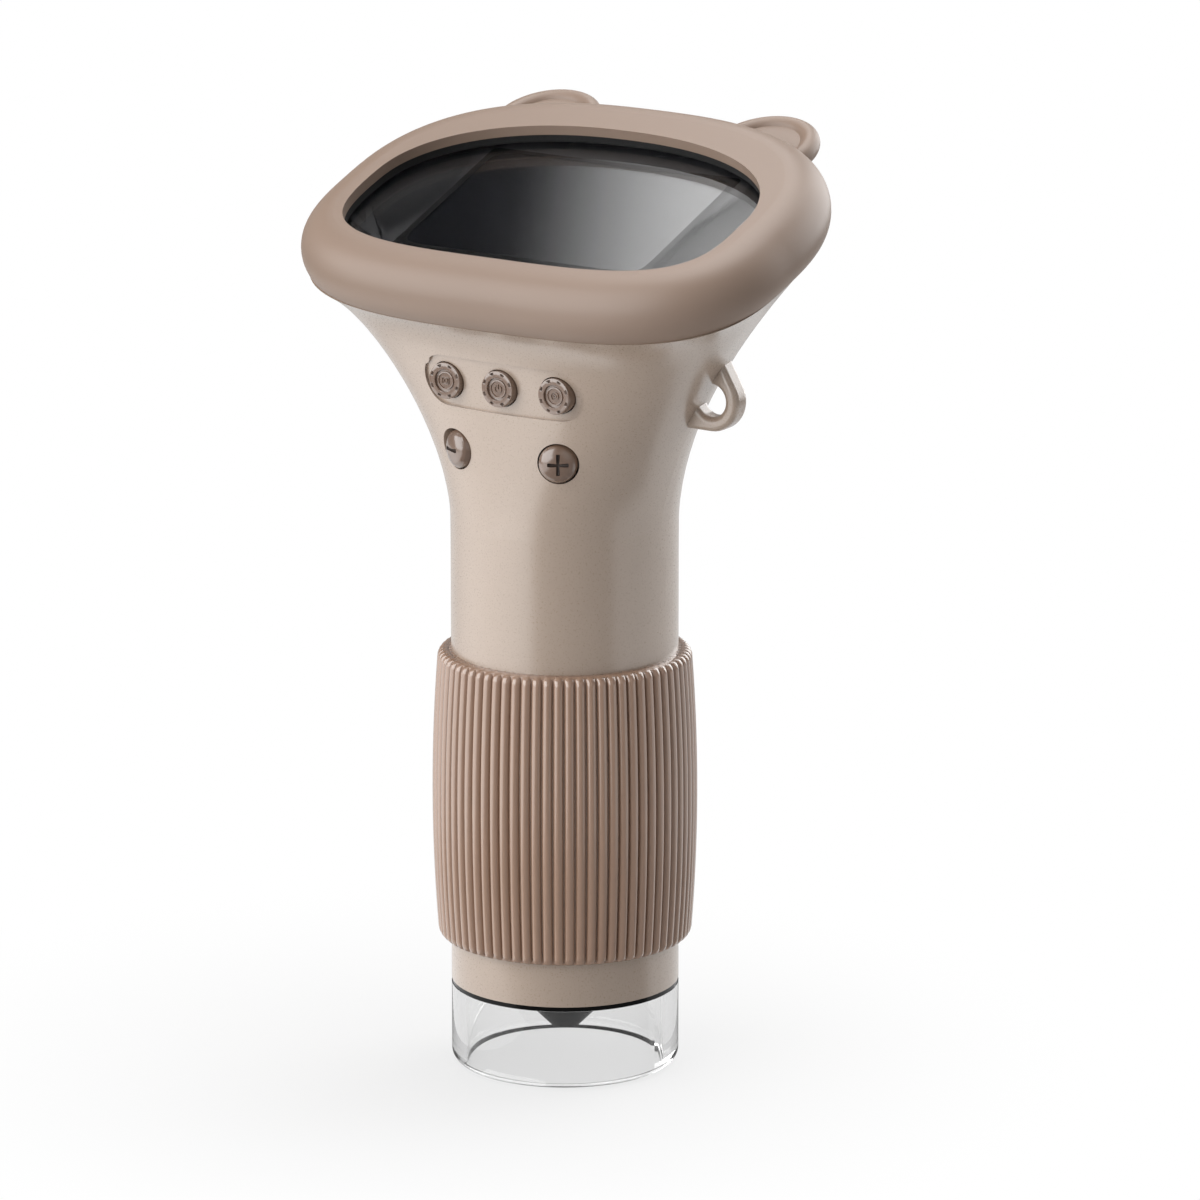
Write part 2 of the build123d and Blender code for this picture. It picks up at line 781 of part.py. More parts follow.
with BuildPart() as rear_cover:
    add(head_shell.part)
    split(bisect_by=parting, keep=Keep.BOTTOM)
    add(cover_bosses.part)
    with BuildSketch(seen_from_behind(split_depth)):
        with Locations(cover_screw_places):
            Circle(screw_radius + screw_clearance)
    extrude(amount=cover_screw_depth, mode=Mode.SUBTRACT)
    with BuildSketch(seen_from_behind(cover_screw_seat)):
        with Locations(cover_screw_places):
            Circle(screw_head_radius + 0.25)
    extrude(amount=cover_screw_depth, mode=Mode.SUBTRACT)
    with BuildSketch(behind_plane(usb_face - 6)):
        with Locations((-usb_offset, usb_level)):
            RectangleRounded(usb_width + 0.3, usb_height + 0.3, usb_height / 2)
        with Locations((-card_offset, card_level)):
            RectangleRounded(
                card_width + 2 * slot_clearance, card_thickness + 2 * slot_clearance, slot_clearance
            )
    extrude(amount=16, mode=Mode.SUBTRACT)
    with BuildSketch(behind_plane(usb_face)):
        with Locations((-usb_offset, usb_level)):
            RectangleRounded(usb_width + 3, usb_height + 2.6, usb_height / 2 + 1.2)
    extrude(amount=10, mode=Mode.SUBTRACT)
    with BuildSketch(behind_plane(card_reach - 1.2)):
        with Locations((-card_offset, card_level)):
            SlotOverall(card_width - 2, 4.5)
    extrude(amount=10, mode=Mode.SUBTRACT)
save(rear_cover, "rear_cover")

pan_screw = screw(cover_screw_seat - split_depth + 6)

with BuildPart() as cover_screws:
    with Locations(seen_from_behind(cover_screw_seat)):
        with Locations(cover_screw_places):
            add(pan_screw)
save(cover_screws, "cover_screws")

# ------------------------------------------------------------------ bumper with bear ears
# Soft ring stretched over the collar: round outside, flat on top, with a lip over the glass.
bumper_bottom_offset = sqrt(bumper_radius**2 - (shoulder_depth - bumper_radius) ** 2)

with BuildLine(head_plane(-bumper_radius)) as bumper_path:
    Spline(
        *d_points(bumper_half_width, bumper_front, bumper_rear, bumper_front_power, bumper_rear_power),
        periodic=True,
    )

with BuildPart() as bumper_ring:
    with BuildSketch(head_plane(-shoulder_depth)):
        add(
            d_face(
                bumper_half_width, bumper_front, bumper_rear, bumper_front_power, bumper_rear_power
            )
        )
    extrude(amount=shoulder_depth)
    with BuildSketch(Plane(origin=bumper_path.line @ 0, x_dir=(1, 0, 0), z_dir=-head_plane().y_dir)):
        with BuildLine():
            Polyline(
                (0, bumper_radius),
                (-1, bumper_radius),
                (-1, bumper_radius - shoulder_depth),
                (bumper_bottom_offset, bumper_radius - shoulder_depth),
            )
            ThreePointArc(
                (bumper_bottom_offset, bumper_radius - shoulder_depth),
                (bumper_radius, 0),
                (0, bumper_radius),
            )
        make_face()
    sweep(path=bumper_path.line)
    for side in (-1, 1):
        ear_axis_plane = head_plane(-ear_depth)
        ear_centre = ear_axis_plane.from_local_coords(Vector(side * ear_spacing / 2, ear_setback, 0))
        with BuildSketch(Plane(origin=ear_centre, x_dir=(1, 0, 0), z_dir=-ear_axis_plane.y_dir)):
            with Locations((ear_radius - ear_rim, 0)):
                Circle(ear_rim)
            Rectangle(ear_radius - ear_rim, ear_web, align=(Align.MIN, Align.CENTER))
        revolve(axis=Axis(ear_centre, ear_axis_plane.z_dir))
    with BuildSketch(head_plane(-shoulder_depth)):
        add(window_face(0))
    extrude(amount=shoulder_depth + 1, mode=Mode.SUBTRACT)
    with BuildSketch(head_plane(-shoulder_depth)):
        add(window_face(collar_outer + 0.1))
    extrude(amount=shoulder_depth - lip_thickness, mode=Mode.SUBTRACT)
save(bumper_ring, "bumper_ring")

# ------------------------------------------------------------------ screen stack
with BuildPart() as screen_gasket:
    with BuildSketch(head_plane(glass_top)):
        add(window_face(glass_overlap))
        add(window_face(0.05), mode=Mode.SUBTRACT)
    extrude(amount=gasket_thickness)
save(screen_gasket, "screen_gasket")

with BuildPart() as cover_glass:
    with BuildSketch(head_plane(glass_bottom)):
        add(window_face(glass_overlap))
    extrude(amount=glass_thickness)
save(cover_glass, "cover_glass")

lcd_centre = (lcd_rear - lcd_front) / 2
lcd_length = lcd_rear + lcd_front
lcd_bottom = glass_bottom - 0.1 - lcd_thickness
board_places = front_posts + rear_posts

with BuildPart() as lcd_panel:
    with BuildSketch(head_plane(lcd_bottom)):
        with Locations((0, lcd_centre)):
            RectangleRounded(lcd_width, lcd_length, lcd_corner)
    extrude(amount=lcd_thickness)
save(lcd_panel, "lcd_panel")

with BuildPart() as display_frame:
    with BuildSketch(head_plane(-shoulder_depth)):
        add(window_face(glass_overlap))
        with Locations((0, lcd_centre)):
            RectangleRounded(lcd_width - 8, lcd_length - 8, lcd_corner, mode=Mode.SUBTRACT)
    extrude(amount=shoulder_depth + glass_bottom)
    with BuildSketch(head_plane(lcd_bottom)):
        with Locations((0, lcd_centre)):
            RectangleRounded(lcd_width + 0.2, lcd_length + 0.2, lcd_corner)
    extrude(amount=lcd_thickness + 1, mode=Mode.SUBTRACT)
    with BuildSketch(head_plane(board_top)):
        with Locations(board_places):
            Circle(frame_post_radius)
    extrude(amount=post_height + 0.5)
    with BuildSketch(head_plane(board_top)):
        with Locations(board_places):
            Circle(screw_radius + screw_fit)
    extrude(amount=post_height, mode=Mode.SUBTRACT)
save(display_frame, "display_frame")

# ------------------------------------------------------------------ main board and what it carries
with BuildPart() as main_board:
    with BuildSketch(head_plane(board_bottom)):
        Polygon((-24, -15), (24, -15), (24, 6.4), (15, 15.2), (-15, 15.2), (-24, 6.4), align=None)
        with Locations(board_places):
            Circle(screw_radius + screw_clearance, mode=Mode.SUBTRACT)
    extrude(amount=board_thickness)
save(main_board, "main_board")

board_underside = Plane(
    origin=head_plane(board_bottom).origin, x_dir=(1, 0, 0), z_dir=-head_plane().z_dir
)
short_screw = screw(board_thickness + post_height - 0.6)

with BuildPart() as board_screws:
    with Locations(board_underside):
        with Locations([(x, -y) for x, y in board_places]):
            add(short_screw)
save(board_screws, "board_screws")

with BuildPart() as main_chips:
    with BuildSketch(head_plane(board_top)):
        with Locations((-6, -4)):
            Rectangle(9, 9)
        with Locations((7, -6)):
            Rectangle(6, 5)
        with Locations((11, 4)):
            Rectangle(4, 4)
    extrude(amount=0.9)
save(main_chips, "main_chips")

with BuildPart() as usb_port:
    with BuildSketch(behind_plane(usb_face)):
        with Locations((-usb_offset, usb_level)):
            RectangleRounded(usb_width, usb_height, usb_height / 2 - 0.05)
    extrude(amount=-usb_length)
    with BuildSketch(behind_plane(usb_face)):
        with Locations((-usb_offset, usb_level)):
            RectangleRounded(usb_width - 0.6, usb_height - 0.6, usb_height / 2 - 0.35)
    extrude(amount=1.2 - usb_length, mode=Mode.SUBTRACT)
    with BuildSketch(behind_plane(usb_face - 0.8)):
        with Locations((-usb_offset, usb_level)):
            Rectangle(6.7, 0.7)
    extrude(amount=1.4 - usb_length)
save(usb_port, "usb_port")

socket_width = card_width + 3.5
socket_height = card_thickness + 0.6

with BuildPart() as card_socket:
    with BuildSketch(head_plane(board_bottom)):
        with Locations((card_offset, socket_front)):
            Rectangle(socket_width, socket_length, align=(Align.CENTER, Align.MIN))
    extrude(amount=-socket_height)
    with BuildSketch(behind_plane(socket_front + socket_length)):
        with Locations((-card_offset, card_level)):
            Rectangle(card_width + 0.3, card_thickness + 0.2)
    extrude(amount=1 - socket_length, mode=Mode.SUBTRACT)
save(card_socket, "card_socket")

card_inner_end = card_reach - card_length

with BuildPart() as memory_card:
    with BuildSketch(head_plane(card_level - card_thickness / 2)):
        with Locations((card_offset - card_width / 2, card_inner_end)):
            Polygon(
                (1.3, 0),
                (card_width, 0),
                (card_width, card_length),
                (0, card_length),
                (0, 11.4),
                (0.9, 10.2),
                (0.9, 8.4),
                (0, 7.8),
                (0, 6.8),
                (1.3, 4.8),
                align=None,
            )
    extrude(amount=card_thickness)
save(memory_card, "memory_card")

# ------------------------------------------------------------------ battery in its cradle
cradle_margin = 2 * cradle_wall + 2 * battery_clearance

with BuildPart() as battery_cradle:
    with BuildSketch(Plane.XY.offset(spigot_top)):
        Circle(neck_radius - wall - ring_clearance)
    extrude(amount=cradle_floor)
    with BuildSketch(Plane.XY.offset(spigot_top)):
        with Locations((0, battery_offset)):
            RectangleRounded(
                battery_width + cradle_margin, battery_depth + cradle_margin, battery_corner + cradle_wall
            )
    extrude(amount=cradle_floor + cradle_height)
    with BuildSketch(Plane.XY.offset(spigot_top + cradle_floor)):
        with Locations((0, battery_offset)):
            RectangleRounded(
                battery_width + 2 * battery_clearance, battery_depth + 2 * battery_clearance, battery_corner
            )
    extrude(amount=cradle_height, mode=Mode.SUBTRACT)
save(battery_cradle, "battery_cradle")

with BuildPart() as battery:
    with BuildSketch(Plane.XY.offset(spigot_top + cradle_floor)):
        with Locations((0, battery_offset)):
            RectangleRounded(battery_width, battery_depth, battery_corner)
    extrude(amount=battery_height)
save(battery, "battery")

# ------------------------------------------------------------------ key boards and switches
with BuildPart() as key_board:
    with BuildSketch(Plane.XZ.offset(key_face)):
        with Locations((0, pad_centre_z)):
            Rectangle(2 * (key_post_x + key_post_radius + 0.2), key_board_height)
    extrude(amount=-key_board_thickness)
save(key_board, "key_board")

for side, name in ((-1, "minus_key_board"), (1, "plus_key_board")):
    with BuildPart() as zoom_key_board:
        with BuildSketch(zoom_plane(side, zoom_face)):
            Rectangle(2 * (zoom_post + zoom_post_radius), 2 * (zoom_post + zoom_post_radius))
        extrude(amount=-key_board_thickness)
    save(zoom_key_board, name)

with BuildPart() as key_switches:
    with BuildSketch(Plane.XZ.offset(key_face)):
        for place in button_places:
            with Locations((place, pad_centre_z)):
                RectangleRounded(switch_size, switch_size, 0.5)
    extrude(amount=switch_height)
    for side in (-1, 1):
        with BuildSketch(zoom_plane(side, zoom_face)):
            RectangleRounded(switch_size, switch_size, 0.5)
        extrude(amount=switch_height)
save(key_switches, "key_switches")


# ------------------------------------------------------------------ buttons
def bow(place):
    """How far the pad floor falls back from its middle at a place across it."""
    return pad_bow_radius - sqrt(pad_bow_radius**2 - place**2)


for place, name in zip(button_places, ("photo_button", "power_button", "video_button")):
    cap_face = pad_front - bow(place) + button_rise
    with BuildPart() as round_button:
        with BuildSketch(Plane.XZ.offset(cap_flange_face - key_flange)):
            with Locations((place, pad_centre_z)):
                Circle(cap_flange_radius)
        extrude(amount=key_flange)
        with BuildSketch(Plane.XZ.offset(cap_flange_face)):
            with Locations((place, pad_centre_z)):
                Circle(button_radius)
        extrude(amount=cap_face - cap_flange_face)
        fillet(round_button.faces().sort_by(Axis.Y)[0].edges(), 0.35)
        # gear-like face: notches round the rim, a sunk middle with a raised ring
        with BuildSketch(Plane.XZ.offset(cap_face)):
            with Locations((place, pad_centre_z)):
                Circle(button_radius * 0.66)
                Circle(button_radius * 0.5, mode=Mode.SUBTRACT)
            with Locations((place, pad_centre_z)):
                Circle(button_radius * 0.4)
            with Locations((place, pad_centre_z)):
                with PolarLocations(button_radius * 0.82, 8):
                    Rectangle(button_radius * 0.16, button_radius * 0.2)
        extrude(amount=-0.25, mode=Mode.SUBTRACT)
        with BuildSketch(Plane.XZ.offset(cap_flange_face - key_flange)):
            with Locations((place, pad_centre_z)):
                Circle(stem_radius)
        extrude(amount=-stem_length)
    save(round_button, name)

for side, name in ((-1, "minus_button"), (1, "plus_button")):
    with BuildPart() as zoom_button:
        with BuildSketch(zoom_plane(side, zoom_flange_face - key_flange)):
            Circle(zoom_flange_radius)
        extrude(amount=key_flange)
        with BuildSketch(zoom_plane(side, zoom_flange_face)):
            Circle(zoom_radius)
        extrude(amount=zoom_wall_radius + zoom_rise - zoom_flange_face)
        cap_edge = zoom_button.faces().sort_by(Axis((0, 0, 0), zoom_plane(side, 0).z_dir))[-1].edges()
        fillet(cap_edge, 0.6)
        with BuildSketch(zoom_plane(side, zoom_wall_radius + zoom_rise)):
            Rectangle(zoom_radius, 0.5)
            if side > 0:
                Rectangle(0.5, zoom_radius)
        extrude(amount=-0.3, mode=Mode.SUBTRACT)
        with BuildSketch(zoom_plane(side, zoom_flange_face - key_flange)):
            Circle(stem_radius)
        extrude(amount=-stem_length)
    save(zoom_button, name)
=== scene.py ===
# %% [markdown]
# # A handheld digital microscope
# The microscope is a stack of moulded parts on one vertical axis: a clear foot, a lower tube, a
# ribbed focus ring, a neck that flares into a D-shaped head, and a soft bumper with two round ears
# that frames the tilted screen. The CAD model gives every size and every joint. This script dresses
# it: it models the pieces whose surfaces catch the eye, and gives each CAD node a material.

# %% Load the frame
import json
from math import atan2, cos, degrees, radians, sin, sqrt

import bmesh
import bpy
from mathutils import Matrix, Vector


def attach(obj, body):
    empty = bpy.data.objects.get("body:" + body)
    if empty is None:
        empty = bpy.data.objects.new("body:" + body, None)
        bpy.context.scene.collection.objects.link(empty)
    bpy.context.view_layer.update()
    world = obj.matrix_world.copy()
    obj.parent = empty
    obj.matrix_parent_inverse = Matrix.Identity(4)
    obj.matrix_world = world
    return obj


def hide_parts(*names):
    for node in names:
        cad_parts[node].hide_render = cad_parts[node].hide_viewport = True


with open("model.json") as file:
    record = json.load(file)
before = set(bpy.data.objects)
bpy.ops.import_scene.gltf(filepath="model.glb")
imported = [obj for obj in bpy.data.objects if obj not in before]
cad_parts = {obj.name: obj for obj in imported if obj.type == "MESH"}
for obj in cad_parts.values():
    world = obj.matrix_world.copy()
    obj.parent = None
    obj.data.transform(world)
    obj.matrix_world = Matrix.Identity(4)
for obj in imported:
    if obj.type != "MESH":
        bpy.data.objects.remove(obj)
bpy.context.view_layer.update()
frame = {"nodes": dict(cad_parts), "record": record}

MM = 0.001
HAIR = 0.01  # millimetres; what lies closer than this counts as the same place
head_tilt = 19.26  # degrees, the screen's slope towards the user
head_middle = (0, -2.37, 134.14)  # millimetres, the middle of the head's rim

# %% [markdown]
# ## Camera
# The view is from the right-hand front, a little above the horizon, with a long lens, so the
# barrel's sides stay nearly parallel. The camera looks at a point beside the barrel axis, because
# the head's loop and the shadow need more room on the right.

# %% Camera
azimuth = radians(33.0)
elevation = radians(14.445)
distance = 1288.03 * MM
aim_height = 71.906 * MM
aim_right = 5.3 * MM
sensor_width = 36.0  # millimetres
lens_length = 256.716  # millimetres

to_camera = Vector(
    (sin(azimuth) * cos(elevation), -cos(azimuth) * cos(elevation), sin(elevation))
)
to_right = Vector((cos(azimuth), sin(azimuth), 0))
to_front = Vector((sin(azimuth), -cos(azimuth), 0))
up = Vector((0, 0, 1))
eye = Vector((0, 0, aim_height)) + to_camera * distance
aim = Vector((0, 0, aim_height)) + to_right * aim_right

bpy.ops.object.camera_add(location=eye)
camera = bpy.context.object
camera.name = "camera"
camera.rotation_euler = (aim - eye).to_track_quat("-Z", "Y").to_euler()
camera.data.sensor_width = sensor_width
camera.data.lens = lens_length
camera.data.clip_end = 20
bpy.context.scene.camera = camera
print("camera at", [round(c, 4) for c in eye], "lens", round(camera.data.lens, 1), "mm")

# %% [markdown]
# ## Colours and nodes
# Colours are written as sRGB hex values, as a paint chart gives them, and turned to the linear
# values that the renderer works with. One small function adds a shader node with its settings and
# its links, and a second one starts an empty material.


# %% Colour and node helpers
def linear(colour):
    """An sRGB hex value as a linear colour with alpha."""
    parts = [int(colour[i : i + 2], 16) / 255 for i in (1, 3, 5)]
    return [c / 12.92 if c <= 0.04045 else ((c + 0.055) / 1.055) ** 2.4 for c in parts] + [1.0]


def add_node(tree, kind, values=None, links=None, **settings):
    """Adds a node: settings are its properties, values its constants, links its incoming wires."""
    made = tree.nodes.new(kind)
    for name, value in settings.items():
        setattr(made, name, value)
    for socket, value in (values or {}).items():
        made.inputs[socket].default_value = value
    for socket, source in (links or {}).items():
        tree.links.new(source, made.inputs[socket])
    return made


def new_material(name):
    """An empty material; returns the material and its node tree."""
    material = bpy.data.materials.new(name)
    material.use_nodes = True
    material.node_tree.nodes.clear()
    return material, material.node_tree


print("mid grey #808080 is", round(linear("#808080")[0], 3), "in linear light")

# %% [markdown]
# ## Studio
# Such a product is shown on matt white paper in a white room. The paper takes the soft shadow close
# to the foot. Further out it glows at full white for the camera and for what is seen through the
# clear foot, so floor and background melt into one. A strength of 1 is white there, and no lamp has
# to be turned up for it. Reflections see a dimmer floor and room, because satin plastic that
# mirrors white from all sides loses the light and dark bands that show its shape.

# %% Studio sizes
floor_size = 6.0  # metres
floor_lift = 0.03 * MM  # the foot's rim dips into the paper, so no two faces lie in one plane
shadow_left = 16 * MM  # the shadow's middle lies this far to the left of the barrel
shadow_reach = 100 * MM
shadow_glow = 0.72  # share of the glow in the middle of the shadow
floor_in_reflections = 0.28
room_light = 0.25  # on the object, and in its reflections


def straight_rays(tree):
    """The Light Path node, and 1 for rays from the camera or through glass, otherwise 0."""
    rays = add_node(tree, "ShaderNodeLightPath")
    straight = add_node(
        tree,
        "ShaderNodeMath",
        links={0: rays.outputs["Is Camera Ray"], 1: rays.outputs["Is Transmission Ray"]},
        operation="MAXIMUM",
    )
    return rays, straight.outputs[0]


# %% Paper floor
bpy.ops.mesh.primitive_plane_add(size=floor_size, location=(0, 0, floor_lift))
floor = bpy.context.object
floor.name = "floor"

# Uncoated paper: no shine at all, so only the soft shadow shows on it.
floor_paper, tree = new_material("matt_white_paper")
rays, straight = straight_rays(tree)
paper = add_node(tree, "ShaderNodeBsdfDiffuse", {"Color": linear("#BDBDBD")})
glow = add_node(tree, "ShaderNodeEmission", {"Color": linear("#FFFFFF"), "Strength": 1.0})
spot = add_node(tree, "ShaderNodeTexCoord")
aside = add_node(
    tree,
    "ShaderNodeMapping",
    {"Location": to_right * shadow_left},
    {"Vector": spot.outputs["Object"]},
)
reach = add_node(
    tree, "ShaderNodeVectorMath", links={0: aside.outputs["Vector"]}, operation="LENGTH"
)
whiter = add_node(
    tree,
    "ShaderNodeMapRange",
    {"From Min": 0.0, "From Max": shadow_reach, "To Min": shadow_glow, "To Max": 1.0},
    {"Value": reach.outputs["Value"]},
    interpolation_type="SMOOTHSTEP",
)
share = add_node(
    tree, "ShaderNodeMath", links={0: straight, 1: whiter.outputs[0]}, operation="MULTIPLY"
)
lit_paper = add_node(
    tree,
    "ShaderNodeMixShader",
    links={0: share.outputs[0], 1: paper.outputs[0], 2: glow.outputs[0]},
)
print("floor at", floor_lift / MM, "mm, shadow", shadow_reach / MM, "mm each way")

# %% Paper floor in reflections
mirrored_rays = add_node(
    tree,
    "ShaderNodeMath",
    links={0: rays.outputs["Is Glossy Ray"], 1: rays.outputs["Is Transmission Ray"]},
    operation="SUBTRACT",
    use_clamp=True,
)
dusk = add_node(
    tree, "ShaderNodeEmission", {"Color": linear("#FFFFFF"), "Strength": floor_in_reflections}
)
floor_seen = add_node(
    tree,
    "ShaderNodeMixShader",
    links={0: mirrored_rays.outputs[0], 1: lit_paper.outputs[0], 2: dusk.outputs[0]},
)
add_node(tree, "ShaderNodeOutputMaterial", links={"Surface": floor_seen.outputs[0]})
floor.data.materials.append(floor_paper)
print("reflections see the floor at", floor_in_reflections, "of white")

# %% White room
world = bpy.data.worlds.new("studio")
world.use_nodes = True
world.node_tree.nodes.clear()
bpy.context.scene.world = world
tree = world.node_tree
rays, straight = straight_rays(tree)
dim = add_node(tree, "ShaderNodeBackground", {"Color": linear("#FFFFFF"), "Strength": room_light})
white = add_node(tree, "ShaderNodeBackground", {"Color": linear("#FFFFFF"), "Strength": 1.0})
room = add_node(
    tree, "ShaderNodeMixShader", links={0: straight, 1: dim.outputs[0], 2: white.outputs[0]}
)
add_node(tree, "ShaderNodeOutputWorld", links={"Surface": room.outputs[0]})
bpy.context.scene.view_settings.view_transform = "Standard"
print("room lights the object at", room_light, "of white")

# %% [markdown]
# ## Lamps
# Four soft boxes light the object: a large one on the left for the bright side, one behind on the
# right for the pale edge, a weak one in front that opens the shadows, and one high behind the head
# for the bumper's upper face. Their places are given as angles round the barrel, counted from the
# camera's side, because that is how lights are walked round an object in a studio.

# %% Soft boxes
lamp_aim = Vector((0, 0, 80 * MM))


def around(angle, rise):
    """A direction at an angle round the object from the camera's side, positive to the right."""
    flat = to_front * cos(radians(angle)) + to_right * sin(radians(angle))
    return flat * cos(radians(rise)) + up * sin(radians(rise))


def soft_box(name, towards, reach, width, height, power):
    """A rectangular lamp at a direction and distance from the object, facing the middle of it."""
    place = lamp_aim + towards.normalized() * reach
    bpy.ops.object.light_add(type="AREA", location=place)
    lamp = bpy.context.object
    lamp.name = name
    lamp.rotation_euler = (lamp_aim - place).to_track_quat("-Z", "Z").to_euler()
    lamp.data.shape = "RECTANGLE"
    lamp.data.size = width
    lamp.data.size_y = height
    lamp.data.energy = power
    print(name, power, "W at", [round(c, 2) for c in place])


soft_box("key_light", around(-64, 20), reach=0.9, width=1.3, height=1.2, power=15.0)
soft_box("edge_light", around(131, 18), reach=0.9, width=0.8, height=0.9, power=7.5)
soft_box("fill_light", around(25, 25), reach=1.4, width=0.9, height=0.9, power=0.8)
soft_box("top_light", around(170, 75), reach=0.9, width=0.8, height=0.8, power=6.5)

# %% [markdown]
# ## Cards for the reflections
# Satin and polished surfaces show what stands round them, so white cards are put up round a
# product in a studio. Here they are planes that glow for reflections only: they add no light to
# matt surfaces and cast no shadow. One function makes a card and the smooth fall of its brightness.


# %% Reflected cards
def reflected_card(name, origin, along, across, span, rise, glow_from, glow_to, through=False):
    """A glowing card that only reflections see.

    It lies at origin between two distances along each of its two directions, in metres. Its
    brightness goes smoothly from glow_from to glow_to, each a distance along its first direction
    and a strength. With through it is also seen through glass.
    """
    bpy.ops.mesh.primitive_plane_add(size=1.0)
    card = bpy.context.object
    card.name = name
    bpy.ops.object.mode_set(mode="EDIT")
    bpy.ops.mesh.select_all(action="SELECT")
    bpy.ops.transform.resize(value=(span[1] - span[0], rise[1] - rise[0], 1))
    bpy.ops.transform.translate(value=((span[0] + span[1]) / 2, (rise[0] + rise[1]) / 2, 0))
    bpy.ops.object.mode_set(mode="OBJECT")
    out = along.cross(across)
    rows = [(along[i], across[i], out[i], origin[i]) for i in range(3)]
    card.matrix_world = Matrix(rows + [(0, 0, 0, 1)])
    # Evenly lit white paper: the eye never sees it, only the soft band that it lays on a surface.
    card_paper, tree = new_material(name + "_paper")
    spot = add_node(tree, "ShaderNodeTexCoord")
    split = add_node(tree, "ShaderNodeSeparateXYZ", links={0: spot.outputs["Object"]})
    fall = add_node(
        tree,
        "ShaderNodeMapRange",
        {
            "From Min": glow_from[0],
            "From Max": glow_to[0],
            "To Min": glow_from[1],
            "To Max": glow_to[1],
        },
        {"Value": split.outputs["X"]},
        interpolation_type="SMOOTHSTEP",
    )
    shine = add_node(tree, "ShaderNodeEmission", links={"Strength": fall.outputs[0]})
    add_node(tree, "ShaderNodeOutputMaterial", links={"Surface": shine.outputs[0]})
    card.data.materials.append(card_paper)
    card.visible_camera = False
    card.visible_diffuse = False
    card.visible_transmission = through
    card.visible_shadow = False
    print(name, "at", [round(c, 3) for c in card.location])


# %% [markdown]
# The screen mirrors whatever stands behind the object. One large card there, bright at its right
# end and black at its left, gives the glass its even fall from grey to black. Its place follows
# from the mirror law: the camera's direction is turned over at the tilted glass.

# %% Card for the screen
screen_card_away = 0.5
tilt = radians(head_tilt)
screen_normal = Vector((0, -sin(tilt), cos(tilt)))
mirrored = 2 * to_camera.dot(screen_normal) * screen_normal - to_camera
card_across = Vector((1, 0, 0))
card_across = (card_across - card_across.dot(mirrored) * mirrored).normalized()
card_up = mirrored.cross(card_across)
reflected_card(
    "screen_card",
    Vector(head_middle) * MM + mirrored * screen_card_away,
    along=card_across,
    across=card_up,
    span=(-0.2, 0.2),
    rise=(-0.2, 0.2),
    glow_from=(-0.016, 0.0),
    glow_to=(0.03, 3.0),
    through=True,
)

# %% [markdown]
# The upright neck, ring and tube mirror what stands low on both sides, below the height of the
# lamps. A bright card on the left gives them their broad light band, and a weaker one on the right
# their pale edge. Each stands on the floor and has a second card lying in front of its foot, for
# the lowest parts. All of them fade towards the back.

# %% Cards for the barrel
cards_aside, stand_height = 0.12, 0.075
lie_from, lie_to, lie_lift = 0.025, 0.12, 0.0008
cards_back, fade_from, fade_to, back_glow = -0.33, -0.12, 0.01, 0.8


def barrel_cards(name, side, stand_glow, stand_end, lie_glow, lie_end):
    """A standing and a lying card on one side (1 right, -1 left); an end is towards the camera."""
    reflected_card(
        name + "_standing_card",
        to_right * (cards_aside * side),
        along=to_front,
        across=up,
        span=(cards_back, stand_end),
        rise=(0.0, stand_height),
        glow_from=(fade_from, min(stand_glow, back_glow)),
        glow_to=(fade_to, stand_glow),
    )
    reflected_card(
        name + "_lying_card",
        up * lie_lift,
        along=to_front,
        across=to_right * side,
        span=(cards_back, lie_end),
        rise=(lie_from, lie_to),
        glow_from=(fade_from, min(lie_glow, back_glow)),
        glow_to=(fade_to, lie_glow),
    )


barrel_cards("left", -1, stand_glow=1.75, stand_end=0.2, lie_glow=1.2, lie_end=0.04)
barrel_cards("right", 1, stand_glow=0.9, stand_end=0.11, lie_glow=0.9, lie_end=0.01)

# %% [markdown]
# ## Two kinds of finish
# Nearly every surface here comes out of a tool or a bath that leaves a fine grain: a spark-eroded
# mould, a lacquer, a plating. So one function makes them all: a tone that drifts slightly over
# the length that plastic flows in the mould, a grain that varies the shine a little, and the same
# grain as a low relief. Clear solids get their own function, because light has to pass through.
# Both read the pattern in Object coordinates, so it stays on the piece when the piece moves.

# %% A grained finish
tone_length = 18.0  # millimetres, how far the tone drifts
tone_drift = 0.04
shine_drift = 0.04


